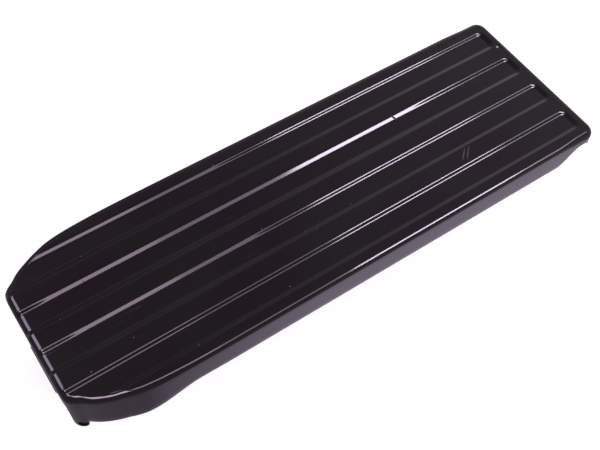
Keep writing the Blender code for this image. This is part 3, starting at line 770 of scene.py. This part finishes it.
def tread_section():
    """From the face's rim over the bend, down the flange, round the cut edge and back up inside.

    Each step is the sheet's inset from its outer side, the angle round the bend, the part of the
    flange's height below the bend, and the height that the rounded cut edge takes off."""
    quarter = math.radians(90.0)
    steps = [(0.0, CROWN_ANGLE * step / 7, 0.0, 0.0) for step in range(1, 8)]
    steps += [(0.0, CROWN_ANGLE + (quarter - CROWN_ANGLE) * step / 11, 0.0, 0.0)
              for step in range(1, 12)]
    steps += [(0.0, quarter, part, 0.0) for part in (0.2, 0.4, 0.6, 0.8, 1.0)]
    turns = [math.radians(angle) for angle in (30.0, 60.0, 90.0)]
    steps += [(EDGE * (1.0 - math.cos(turn)), quarter, 1.0, EDGE * math.sin(turn))
              for turn in turns]
    steps += [(SHEET - EDGE * (1.0 - math.cos(turn)), quarter, 1.0, EDGE * math.sin(turn))
              for turn in reversed(turns)]
    steps += [(SHEET, quarter, part, 0.0) for part in (1.0, 0.8, 0.6, 0.4, 0.2, 0.0)]
    steps += [(SHEET, quarter * step / 8, 0.0, 0.0) for step in range(7, 0, -1)]
    return steps


def face_grid():
    """Places along the face, and across one half of it, close together on the channels' walls."""
    columns = spread([(BEND, 3.6, 0.02), (3.6, 8.0, 0.25), (8.0, 52.0, 0.8), (52.0, 240.0, 3.0),
                      (240.0, 256.0, 0.8), (256.0, LENGTH - BEND, 0.25)])
    stretches = []
    end = 0.0
    for centre in (0.5 * CHANNEL_PITCH, 1.5 * CHANNEL_PITCH):
        for wall in (centre - CHANNEL_WIDTH / 2.0, centre + CHANNEL_WIDTH / 2.0):
            stretches.append((end, wall - WALL_ROOM, 1.2))
            end = wall + WALL_ROOM
            stretches.append((wall - WALL_ROOM, end, 0.24))
    stretches.append((end, HALF_WIDTH - BEND, 1.2))
    return columns, spread(stretches)[1:]


def flange_rings(rim):
    """Rings of places that carry the face's rim round the tread's section, down to the flange's
    lower edge below each place and back up."""
    outward = []
    for before, after in zip(rim[-1:] + rim[:-1], rim[1:] + rim[:1]):
        run = after - before
        outward.append(Vector((-run.y, run.x, 0.0)).normalized())
    rings = []
    for inset, angle, part, edge in tread_section():
        ring = []
        for start, away in zip(rim, outward):
            outside = start + away * bend_place(start.x, math.pi / 2.0)[0]
            low = -flange_depth(outside.x, outside.y) + EDGE
            out, down = bend_place(start.x, angle)
            z = start.z - down - inset * math.cos(angle)
            z += (low - z) * part - edge
            place = start + away * (out - inset * math.sin(angle))
            ring.append(Vector((place.x, place.y, z)))
        rings.append(ring)
    return rings


def band(ring, after):
    """The faces between one ring of vertices and the next."""
    return [(a, b, d, c) for a, b, c, d in zip(ring, ring[1:] + ring[:1],
                                               after, after[1:] + after[:1])]


def tread_mesh():
    """The whole pressing as one closed shell: face, bend, flanges, cut edge and inner side. Where
    the heel narrows, the outer rows close up along its edge."""
    columns, rows = face_grid()
    closest = 0.03
    verts = []
    for x in columns:
        half_width = face_half_width(x)
        half = [min(row, half_width - closest * (len(rows) - 1 - index))
                for index, row in enumerate(rows)]
        half[-1] = half_width
        across = [-y for y in reversed(half)] + [0.0] + half
        verts += [Vector((x, y, -channel_depth(x, y))) for y in across]
    wide = 2 * len(rows) + 1
    long = len(columns)
    quads = [(c * wide + r, (c + 1) * wide + r, (c + 1) * wide + r + 1, c * wide + r + 1)
             for c in range(long - 1) for r in range(wide - 1)]
    rim = list(range(wide))
    rim += [c * wide + wide - 1 for c in range(1, long)]
    rim += [(long - 1) * wide + r for r in range(wide - 2, -1, -1)]
    rim += [c * wide for c in range(long - 2, 0, -1)]

    face_count = len(verts)
    faces = list(quads)
    ring = rim
    for places in flange_rings([verts[corner] for corner in rim]):
        after = list(range(len(verts), len(verts) + len(rim)))
        verts += places
        faces += band(ring, after)
        ring = after
    inner = len(verts)
    verts += [vert - Vector((0.0, 0.0, SHEET)) for vert in verts[:face_count]]
    faces += band(ring, [inner + corner for corner in rim])
    faces += [tuple(inner + corner for corner in reversed(quad)) for quad in quads]

    bm = shell(verts, faces)

    # How far down a channel each place is, for the duller film there
    hollow = bm.verts.layers.float.new("hollow")
    for vert in bm.verts:
        if vert.co.z > -BEND:
            vert[hollow] = min(max(-vert.co.z / CHANNEL_DEPTH, 0.0), 1.0)
    bmesh.ops.remove_doubles(bm, verts=bm.verts, dist=0.001)
    bmesh.ops.recalc_face_normals(bm, faces=bm.faces)
    return bm


def make_tread(enamel):
    """The pressing, with the bore for the hinge pin drilled through both ears."""
    tread = make("tread_pressing", tread_mesh(), enamel, ON_TREAD)
    axis = at(0.0, 0.0, HINGE_Z) @ Matrix.Rotation(math.pi / 2, 4, "X")
    carve(tread, "DIFFERENCE", (drill(BORE_RADIUS, -45.0, 45.0), axis))
    fit(tread, "tread", "enamel", "pedal_plate")


# --- What is welded under the tread -------------------------------------------------------------

def make_upper_cup(black):
    """Drawn cup over the spring's top, mouth down, with a rounded shoulder and a turned-out lip."""
    top = UNDER_FACE
    outer = UPPER_CUP_RADIUS
    low = top - CUP_HEIGHT
    lip = 0.2
    profile = rounded([(0.0, top, 0.0), (outer - lip, top, 2.0), (outer - lip, low + 1.2, 1.2),
                       (outer, low, 0.25), (outer - CUP_WALL, low, 0.25),
                       (outer - lip - CUP_WALL, low + 1.2, 1.0),
                       (outer - lip - CUP_WALL, top - CUP_WALL, 1.0), (0.0, top - CUP_WALL, 0.0)],
                      closed=False)
    reach = SPRING_X / math.cos(REST_TILT) + AXIS_X + CUP_LEAD
    cup = make("spring_cup_drawn_upper", lathe(profile), black,
               ON_TREAD @ Matrix.Translation((reach, 0.0, 0.0)))
    fit(cup, "tread", "blackened", "spring_cup_upper")


def make_stop_bracket(black):
    """Hat-shaped bracket bent from strip; the stop bolt's shank passes through its shelf."""
    thick = BRACKET_SHEET
    top = UNDER_FACE - thick / 2.0
    shelf = STOP_SHELF_Z - thick / 2.0
    leg = 9.0 - thick / 2.0
    path = [(-14.0, top, 0.0), (-leg, top, 1.6), (-leg, shelf, 1.9), (leg, shelf, 1.9),
            (leg, top, 1.6), (14.0, top, 0.0)]
    hat = prism(strip(path, thick), "YZ", BRACKET_X - BRACKET_HALF_LENGTH,
                BRACKET_X + BRACKET_HALF_LENGTH)
    bracket = make("stop_bracket_bent", hat, black, ON_TREAD)
    reach = 4.2
    hole = rounded([(BRACKET_X + a * reach, b * reach, reach - 0.1)
                    for a, b in ((-1, -1), (1, -1), (1, 1), (-1, 1))], 10)
    carve(bracket, "DIFFERENCE", (prism(hole, "XY", shelf - 3.0, shelf + 3.0), ON_TREAD))
    soften(bracket, 0.25)
    fit(bracket, "tread", "blackened", "up_stop_bracket")


def make_link_tongue(black):
    """Cranked strap under the toe with a round eye for the lifting chain."""
    thick = TONGUE_THICK
    top = UNDER_FACE - thick / 2.0
    low = -TONGUE_DROP - thick / 2.0
    path = [(TONGUE_START, top, 0.0), (245.5, top, 4.0), (255.5, low, 4.0), (TONGUE_END, low, 0.0)]
    tongue = make("link_tongue_cranked", prism(strip(path, thick), "XZ", -TONGUE_HALF, TONGUE_HALF),
                  black, ON_TREAD)
    plan = rounded([(TONGUE_START, -TONGUE_HALF, 2.0), (TONGUE_END, -TONGUE_HALF, 8.0),
                    (TONGUE_END, TONGUE_HALF, 8.0), (TONGUE_START, TONGUE_HALF, 2.0)], 12)
    carve(tongue, "INTERSECT", (prism(plan, "XY", -30.0, 0.0), ON_TREAD))
    eye = ON_TREAD @ Matrix.Translation((TONGUE_END - 7.0, 0.0, 0.0))
    carve(tongue, "DIFFERENCE", (drill(TONGUE_EYE, -30.0, -5.0), eye))
    soften(tongue, 0.3)
    fit(tongue, "tread", "blackened", "link_tongue")


def make_weld_marks(tree, black):
    """Spot-weld dimples, 4 mm across, four on the bracket's feet and four on the tongue's root."""
    places = (("weld_marks_bracket", BRACKET_X, 8.0, 23.4, UNDER_FACE - BRACKET_SHEET),
              ("weld_marks_tongue", 233.0, 11.0, 10.0, UNDER_FACE - TONGUE_THICK))
    for name, x, length, width, z in places:
        dimple = rounded([(0.0, 0.08, 0.0), (1.1, 0.02, 0.0), (1.7, -0.18, 0.3),
                          (2.1, 0.08, 0.0)], 3, closed=False)
        spot = make(name, lathe(dimple + [Vector((0.0, 0.1))], 24), black)
        run_tree(spot, tree, {"Length": length * METRES, "Width": width * METRES,
                              "Centre": (0.0, 0.0, 0.0), "Most Turn": math.tau, "Seed": 5})
        lay = Matrix.Scale(METRES, 4) @ ON_TREAD @ Matrix.Translation((x, 0.0, z))
        spot.data.transform(lay @ Matrix.Scale(1.0 / METRES, 4))
        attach(spot, "tread")


# --- Base and hinge -----------------------------------------------------------------------------

def make_base(black):
    """Channel pressed from strip, with rounded wall ends and a tail curled round the hinge pin."""
    middle = BASE_UNDERSIDE + BASE_SHEET / 2.0
    side = BASE_HALF - BASE_SHEET / 2.0
    path = [(-side, BASE_WALL_TOP, 0.0), (-side, middle, 2.4), (side, middle, 2.4),
            (side, BASE_WALL_TOP, 0.0)]
    here = at(0.0)
    base = make("base_channel_pressed", prism(strip(path, BASE_SHEET), "YZ", BASE_START, BASE_END),
                black, here)
    below = BASE_UNDERSIDE - 1.0
    elevation = rounded([(BASE_START, below, 0.0), (BASE_END, below, 0.0),
                         (BASE_END, BASE_WALL_TOP, 6.0), (BASE_START, BASE_WALL_TOP, 6.0)], 10)
    plan = rounded([(BASE_START, -BASE_HALF, 5.0), (BASE_END, -BASE_HALF, 5.0),
                    (BASE_END, BASE_HALF, 5.0), (BASE_START, BASE_HALF, 5.0)], 10)
    carve(base, "INTERSECT", (prism(elevation, "XZ", -30.0, 30.0), here),
          (prism(plan, "XY", 0.0, 20.0), here))
    wall = BARREL_RADIUS - BORE_RADIUS
    reach = BARREL_RADIUS - wall / 2.0
    curl = [(BASE_START + 5.0, middle, 0.0), (8.0, middle, 5.0), (3.0, HINGE_Z - reach, 3.0)]
    for step in range(28):
        angle = math.radians(-90.0 - 11.5 * step)
        curl.append((reach * math.cos(angle), HINGE_Z + reach * math.sin(angle), 0.0))
    tail = prism(strip(curl, wall), "XZ", -BARREL_HALF, BARREL_HALF)
    carve(base, "UNION", (tail, here))
    holes = [(FOOT_CENTRE + a * FOOT_SPREAD[0] / 2, b * FOOT_SPREAD[1] / 2, FOOT_SCREW_RADIUS)
             for a in (-1, 1) for b in (-1, 1)]
    holes += [(SPRING_X, 0.0, RIVET_RADIUS), (STOP_X, 0.0, BOLT_RADIUS),
              (BUFFER_X, 0.0, BUFFER_SCREW_RADIUS)]
    carve(base, "DIFFERENCE", *((drill(radius + GAP, 0.0, 10.0, 40), at(x, y))
                                for x, y, radius in holes))
    soften(base, 0.3)
    fit(base, "base", "blackened", "base_channel")


def make_pin(black):
    """Hinge pin with its ends dressed flush with the slanting ears and lightly rounded."""
    rounding = 0.3
    profile = [(0.0, -1.0), (PIN_RADIUS - rounding, -1.0), (PIN_RADIUS, -1.0 + 0.01),
               (PIN_RADIUS, 1.0 - 0.01), (PIN_RADIUS - rounding, 1.0), (0.0, 1.0)]
    bm = lathe(profile, 48)
    for vert in bm.verts:
        side = 1.0 if vert.co.z > 0.0 else -1.0
        edge = rounding if abs(vert.co.z) < 0.995 else 0.0
        vert.co.z = side * (EAR_SIDE + EAR_SLOPE * vert.co.x - 0.15 - edge)
    turn = Matrix(((1, 0, 0, 0), (0, 0, 1, 0), (0, -1, 0, 0), (0, 0, 0, 1)))
    pin = make("hinge_pin_dressed", bm, black, at(0.0, 0.0, HINGE_Z) @ turn)
    fit(pin, "base", "blackened", "hinge_pin")


def make_sleeves(nylon):
    """Turned nylon spacer each side of the barrel, with chamfered ends."""
    outer = BARREL_RADIUS - 0.7
    start = BARREL_HALF + GAP
    for name, side in (("hinge_sleeve_near", -1.0), ("hinge_sleeve_far", 1.0)):
        profile = rounded([(outer, SLEEVE_END, 0.35), (outer, start, 0.35),
                           (BORE_RADIUS, start, 0.15), (BORE_RADIUS, SLEEVE_END, 0.15)], 4)
        turn = Matrix.Rotation(-side * math.pi / 2, 4, "X")
        sleeve = make(f"{name}_turned", lathe(profile, 56), nylon, at(0.0, 0.0, HINGE_Z) @ turn)
        fit(sleeve, "base", "nylon", name)


# --- Spring and stops ---------------------------------------------------------------------------

def make_lower_cup(zinc):
    """Drawn cup that seats the spring, held to the web by a domed rivet."""
    low = WEB_TOP + GAP
    top = low + CUP_HEIGHT
    outer = CUP_RADIUS
    wall = CUP_WALL
    profile = rounded([(outer - 0.5 - wall, low + wall, 1.0), (outer - 0.5 - wall, top - 1.2, 1.0),
                       (outer - wall, top, 0.25), (outer, top, 0.25), (outer - 0.5, top - 1.2, 1.2),
                       (outer - 0.5, low, 2.0), (RIVET_RADIUS + GAP, low, 0.2),
                       (RIVET_RADIUS + GAP, low + wall, 0.2)])
    cup = make("spring_cup_drawn_lower", lathe(profile), zinc, at(SPRING_X))
    fit(cup, "base", "zinc", "spring_cup_lower")
    head = low + wall + GAP
    tail = BASE_UNDERSIDE - GAP
    dome = [(4.2 * math.sin(math.radians(a)), head + 1.5 * math.cos(math.radians(a)))
            for a in range(0, 91, 10)]
    foot = [(3.6 * math.sin(math.radians(a)), tail - 1.5 * math.cos(math.radians(a)))
            for a in range(90, -1, -10)]
    shank = [(RIVET_RADIUS, head), (RIVET_RADIUS, tail)]
    rivet = make("cup_rivet_domed", lathe(dome + shank + foot, 48), zinc, at(SPRING_X))
    fit(rivet, "base", "zinc", "cup_rivet")


def make_spring(tree, wire):
    """Return spring between its two cups."""
    low = WEB_TOP + GAP + CUP_WALL + GAP + SPRING_WIRE

    # The upper seat's height over the hinge, and over the floor with the tread up and pressed
    seat = UNDER_FACE - CUP_WALL - GAP - AXIS_Z
    rest = HINGE_Z + seat * math.cos(REST_TILT) + SPRING_X * math.tan(REST_TILT)
    high = rest - SPRING_WIRE
    high -= (SPRING_RADIUS + SPRING_WIRE) * math.tan(REST_TILT) / 2.0 + GAP
    bm = bmesh.new()
    bm.verts.new((0.0, 0.0, 0.0))
    spring = make("return_spring_wire", bm, wire)
    run_tree(spring, tree, {
        "Radius": SPRING_RADIUS * METRES, "Wire": SPRING_WIRE * METRES, "Turns": SPRING_TURNS,
        "Low": low * METRES, "High": high * METRES,
        "Closed": (2.0 * SPRING_WIRE + 0.15) * METRES, "Lean": math.tan(REST_TILT) / 2.0,
        "Centre": ((HINGE_X + SPRING_X) * METRES, 0.0, 0.0), "Steps": 320})
    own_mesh(spring)
    fit(spring, "base", "spring_steel", "return_spring")


def hexagon(low, high, chamfer_low, chamfer_high):
    """A hexagon for a spanner, and the turned shape whose cones chamfer its ends."""
    corner = HEXAGON_FLATS / math.sqrt(3.0)
    outline = [(corner * math.cos(math.radians(60 * k)), corner * math.sin(math.radians(60 * k)))
               for k in range(6)]
    flat = HEXAGON_FLATS / 2.0 - 0.25
    wide = corner + 0.5
    drop = (wide - flat) / 2.0
    profile = [(0.0, high)]
    if chamfer_high:
        profile += [(flat, high), (wide, high - drop)]
    else:
        profile += [(wide, high)]
    if chamfer_low:
        profile += [(wide, low + drop), (flat, low)]
    else:
        profile += [(wide, low)]
    profile.append((0.0, low))
    return prism(outline, "XY", low, high), lathe(profile, 96)


def threaded_shank(radius, pitch, low, thread_top, high):
    """A shank with a true helical thread from its tip up to thread_top, plain above."""
    around = 48
    rise = pitch / 8.0
    steps = round((high - low) / rise)
    verts = []
    for level in range(steps + 1):
        z = low + (high - low) * level / steps
        ends = min((z - low) / 0.8, (thread_top - z) / 0.8)
        depth = 0.3 * min(max(ends, 0.0), 1.0)
        tip = 0.5 * max(0.0, 1.0 - (z - low) / 0.6)
        for k in range(around):
            phase = (z / pitch - k / around) % 1.0
            r = radius - tip - depth * (1.0 - abs(2.0 * phase - 1.0))
            angle = math.tau * k / around
            verts.append((r * math.cos(angle), r * math.sin(angle), z))
    faces = [(level * around + k, level * around + (k + 1) % around,
              (level + 1) * around + (k + 1) % around, (level + 1) * around + k)
             for level in range(steps) for k in range(around)]
    faces.append(tuple(range(around - 1, -1, -1)))
    faces.append(tuple(range(steps * around, (steps + 1) * around)))
    return shell(verts, faces)


def make_stop_bolt(zinc, rubber):
    """Hexagon bolt, nut and rubber washer that hold the toe down against the spring."""
    place = at(STOP_X)
    reach = STOP_X / math.cos(REST_TILT)
    shelf = HINGE_Z + (STOP_SHELF_Z - AXIS_Z) * math.cos(REST_TILT) + reach * math.sin(REST_TILT)
    washer_low = shelf + WASHER_RADIUS * math.tan(REST_TILT) + GAP
    washer_top = washer_low + WASHER_THICK
    head_low = washer_top + GAP
    washer = rounded([(WASHER_RADIUS, washer_top, 0.5), (WASHER_RADIUS, washer_low, 0.5),
                      (BOLT_RADIUS + GAP, washer_low, 0.2), (BOLT_RADIUS + GAP, washer_top, 0.2)])
    disc = make("stop_washer_moulded", lathe(washer), rubber, place)
    fit(disc, "base", "rubber", "up_stop_washer")

    head, chamfer = hexagon(head_low, head_low + 3.0, False, True)
    bolt = make("stop_bolt_head", head, zinc, place)
    carve(bolt, "INTERSECT", (chamfer, place))
    shank = threaded_shank(BOLT_RADIUS, 0.8, BASE_UNDERSIDE + GAP, head_low - 6.0, head_low + 1.0)
    carve(bolt, "UNION", (shank, place))
    settle(bolt, 30.0)
    fit(bolt, "base", "zinc", "up_stop_bolt")

    low = WEB_TOP + GAP
    blank, chamfer = hexagon(low, low + 4.0, True, True)
    nut = make("stop_nut_chamfered", blank, zinc, place)
    carve(nut, "INTERSECT", (chamfer, place))
    bore = rounded([(0.0, low - 1.0, 0.0), (3.8, low - 1.0, 0.0), (2.8, low + 0.5, 0.0),
                    (2.8, low + 3.5, 0.0), (3.8, low + 5.0, 0.0), (0.0, low + 5.0, 0.0)])
    carve(nut, "DIFFERENCE", (lathe(bore, 48), place))
    settle(nut, 30.0)
    fit(nut, "base", "zinc", "up_stop_nut")


def make_buffer(zinc, rubber):
    """Tapered rubber buffer with two moulded waists, and the screw that holds it from below."""
    place = at(BUFFER_X)
    low = WEB_TOP + GAP
    top = BUFFER_TOP
    bore_top = low + 12.0
    profile = [(0.0, top, 0.0), (6.2, top, 2.2), (7.1, top - 6.5, 0.8), (6.2, top - 8.0, 1.2),
               (7.4, top - 9.6, 0.8), (8.0, top - 14.5, 0.8), (7.0, top - 16.0, 1.2),
               (8.3, top - 17.6, 0.8), (9.0, low, 0.8), (BUFFER_SCREW_RADIUS + GAP, low, 0.3),
               (BUFFER_SCREW_RADIUS + GAP, bore_top, 0.3), (0.0, bore_top, 0.0)]
    buffer = make("down_stop_buffer_moulded", lathe(rounded(profile, closed=False)), rubber, place)
    fit(buffer, "base", "rubber", "down_stop_buffer")
    tip = bore_top - GAP
    head = BASE_UNDERSIDE - GAP
    screw = rounded([(0.0, tip, 0.0), (1.2, tip, 0.2), (BUFFER_SCREW_RADIUS, tip - 1.5, 0.3),
                     (BUFFER_SCREW_RADIUS, head, 0.0), (4.2, head, 0.4),
                     (3.9, head - 1.5, 1.2), (0.0, head - 2.3, 0.0)], closed=False)
    piece = make("down_stop_screw_cross", lathe(screw, 56), zinc, place)
    carve(piece, "DIFFERENCE", *cross_recess(head - 3.0, head - 1.1, 2.2, place))
    fit(piece, "base", "zinc", "down_stop_screw")


# --- Feet ---------------------------------------------------------------------------------------

def cross_recess(low, high, reach, place):
    """The two tapering wings that a cross-point driver leaves in a screw's head, from below."""
    wings = []
    for turn in (0.0, math.pi / 2.0):
        wing = prism([(-reach, low), (reach, low), (0.35 * reach, high), (-0.35 * reach, high)],
                     "XZ", -0.4, 0.4)
        wings.append((wing, place @ Matrix.Rotation(turn, 4, "Z")))
    return wings


def make_feet(rubber_tree, zinc_tree, rubber, zinc):
    """Four moulded feet with a ring groove underneath, and the cross-point screws sunk in them."""
    top = BASE_UNDERSIDE - GAP
    recess = 2.4
    bore = FOOT_SCREW_RADIUS + GAP
    foot = rounded([(FOOT_RADIUS, top, 0.3), (FOOT_RADIUS - 0.6, 0.0, 0.6), (5.7, 0.0, 0.1),
                    (5.4, 0.5, 0.15), (5.1, 0.5, 0.15), (4.8, 0.0, 0.1), (4.0, 0.0, 0.3),
                    (4.0, recess, 0.3), (bore, recess, 0.1), (bore, top, 0.2)], 5)
    spread_out = {"Length": FOOT_SPREAD[0] * METRES, "Width": FOOT_SPREAD[1] * METRES,
                  "Centre": ((HINGE_X + FOOT_CENTRE) * METRES, 0.0, 0.0)}
    feet = make("feet_moulded", lathe(foot, 64), rubber)
    run_tree(feet, rubber_tree, {**spread_out, "Most Turn": 0.0, "Seed": 1})
    fit(feet, "base", "rubber", "foot_1", "foot_2", "foot_3", "foot_4")

    head = recess - GAP
    tip = WEB_TOP + 0.8
    screw = rounded([(0.0, tip, 0.0), (1.1, tip, 0.1), (FOOT_SCREW_RADIUS, tip - 0.6, 0.1),
                     (FOOT_SCREW_RADIUS, head, 0.0), (3.5, head, 0.2), (3.4, head - 0.9, 0.7),
                     (0.0, head - 1.4, 0.0)], 5, closed=False)
    origin = Matrix.Identity(4)
    screws = make("foot_screws_cross_point", lathe(screw, 48), zinc, origin)
    carve(screws, "DIFFERENCE", *cross_recess(head - 1.8, head - 0.4, 1.8, origin))
    run_tree(screws, zinc_tree, {**spread_out, "Most Turn": math.tau, "Seed": 11})
    fit(screws, "base", "zinc", "foot_screw_1", "foot_screw_2", "foot_screw_3", "foot_screw_4")


# --- Floor, light and camera --------------------------------------------------------------------

def make_floor(board):
    """A pale board under the pedal, wide enough for every view."""
    bm = bmesh.new()
    bmesh.ops.create_grid(bm, x_segments=8, y_segments=8, size=6000.0)
    floor = make("studio_floor", bm, board)
    floor.visible_glossy = False


def strip_light(name, centre, size, radiance, colour, aim=(0.0, 0.0, -1.0)):
    """A long soft box over the tread, in the tread's frame; size and place in millimetres."""
    light = bpy.data.lights.new(name, "AREA")
    light.shape = "RECTANGLE"
    light.size = size[0] * METRES
    light.size_y = size[1] * METRES
    light.energy = radiance * math.pi * light.size * light.size_y
    light.color = hex_colour(colour)[:3]
    lamp = bpy.data.objects.new(name, light)
    bpy.context.scene.collection.objects.link(lamp)
    back = -Vector(aim).normalized()
    along = (Vector((1.0, 0.0, 0.0)) - back * back.x).normalized()
    turn = Matrix((along, back.cross(along), back)).transposed().to_4x4()
    placed = ON_TREAD @ Matrix.Translation(centre) @ turn
    placed.translation *= METRES
    lamp.matrix_world = placed
    return lamp


def light_the_stage():
    """A row of strips over the tread, brightest past its middle, and boxes for the heel's edges.
    They only show in what shines; a soft fill, the room and the floor light everything."""
    boxes = (("toe_strip", (690.0, -72.0, 600.0), (190.0, 120.0), 9.0, "#ffffff"),
             ("bright_strip", (475.0, -72.0, 600.0), (240.0, 120.0), 36.0, "#ffffff"),
             ("middle_strip", (265.0, -72.0, 600.0), (180.0, 120.0), 5.0, "#f8f2fa"),
             ("heel_strip", (85.0, -72.0, 600.0), (180.0, 120.0), 9.0, "#fff0f6"),
             ("chamfer_strip", (-150.0, -80.0, 600.0), (200.0, 200.0), 18.0, "#fff0f6"))
    lamps = [strip_light(*box) for box in boxes]
    lamps.append(strip_light("heel_edge_box", (-170.0, 245.0, 400.0), (320.0, 140.0), 9.0,
                             "#f2f0ff", aim=(0.34, -0.49, -0.80)))
    for lamp in lamps:
        lamp.visible_diffuse = False
    fill = strip_light("front_fill", (60.0, -700.0, 500.0), (900.0, 500.0), 1.6, "#ffffff",
                       aim=(0.0, 0.8, -0.6))
    fill.visible_glossy = False


def paint_the_room():
    """The dim pale room that the enamel mirrors between the strips."""
    world = bpy.data.worlds.new("dim_studio")
    world.use_nodes = True
    tree = world.node_tree
    where = add(tree, "ShaderNodeTexCoord").outputs["Generated"]
    axes = add(tree, "ShaderNodeSeparateXYZ", {0: where}).outputs

    # Above the horizon: brighter to the far side but dark low down there, brighter to the toe
    far_side = add(tree, "ShaderNodeMapRange", {"Value": axes["Y"], "From Min": 0.5,
                                                "From Max": 0.68, "To Min": 0.46, "To Max": 0.8})
    far_low = add(tree, "ShaderNodeMapRange", {"Value": axes["Y"], "From Min": 0.78,
                                               "From Max": 0.96, "To Min": 1.0, "To Max": 0.35})
    toe_side = add(tree, "ShaderNodeMapRange", {"Value": axes["X"], "From Min": 0.1,
                                                "From Max": 0.5, "To Min": 0.7, "To Max": 1.5})
    room = add(tree, "ShaderNodeMath", {0: far_side, 1: far_low}, operation="MULTIPLY")
    room = add(tree, "ShaderNodeMath", {0: room, 1: toe_side}, operation="MULTIPLY")

    # Below the horizon, the glow of the floor that the flange mirrors
    glow = add(tree, "ShaderNodeMapRange", {"Value": axes["X"], "From Min": 0.1,
                                            "From Max": 0.42, "To Min": 0.36, "To Max": 1.15})
    below = add(tree, "ShaderNodeMapRange", {"Value": axes["Z"], "From Min": -0.8,
                                             "From Max": -0.05, "To Min": 1.0, "To Max": 0.0})
    light = add(tree, "ShaderNodeMix", {"Factor": below, "A": room, "B": glow})
    tone = add(tree, "ShaderNodeMix", {"Factor": below, "A": hex_colour("#f4f0f6"),
                                       "B": hex_colour("#e6daf2")}, data_type="RGBA")
    feed(tree, tree.nodes["Background"], {"Color": tone, "Strength": light})
    bpy.context.scene.world = world


def aim_camera():
    """The camera stands off the near heel corner and looks down the tread towards its toe."""
    azimuth = math.radians(-36.352)
    elevation = math.radians(56.928)
    roll = math.radians(2.895)
    distance = 385.33
    target = Vector((119.404, -11.099, 0.0))
    back = Vector((math.sin(azimuth) * math.cos(elevation),
                   -math.cos(azimuth) * math.cos(elevation), math.sin(elevation)))
    level = Vector((math.cos(azimuth), math.sin(azimuth), 0.0))
    upright = back.cross(level)
    right = level * math.cos(roll) + upright * math.sin(roll)
    up = upright * math.cos(roll) - level * math.sin(roll)
    place = Matrix((right, up, back)).transposed().to_4x4()
    place.translation = target + back * distance
    placed = ON_TREAD @ place
    placed.translation *= METRES
    lens = bpy.data.cameras.new("camera")
    lens.sensor_width = 36.0
    lens.lens = 54.04
    lens.clip_start = 0.01
    camera = bpy.data.objects.new("camera", lens)
    bpy.context.scene.collection.objects.link(camera)
    camera.matrix_world = placed
    bpy.context.scene.camera = camera


# --- Build --------------------------------------------------------------------------------------

enamel = stove_enamel()
black = blackened_steel()
zinc = zinc_plate()
wire = spring_steel()
rubber = moulded_rubber()
nylon = natural_nylon()

make_tread(enamel)
make_upper_cup(black)
make_stop_bracket(black)
make_link_tongue(black)
make_weld_marks(four_corners_tree("weld_marks_on_corners", black), black)
make_base(black)
make_pin(black)
make_sleeves(nylon)
make_lower_cup(zinc)
make_spring(spring_tree(wire), wire)
make_stop_bolt(zinc, rubber)
make_buffer(zinc, rubber)
make_feet(four_corners_tree("feet_on_corners", rubber),
          four_corners_tree("foot_screws_on_corners", zinc), rubber, zinc)
make_floor(studio_board())
light_the_stage()
paint_the_room()
aim_camera()
bpy.context.scene.view_settings.view_transform = "Standard"
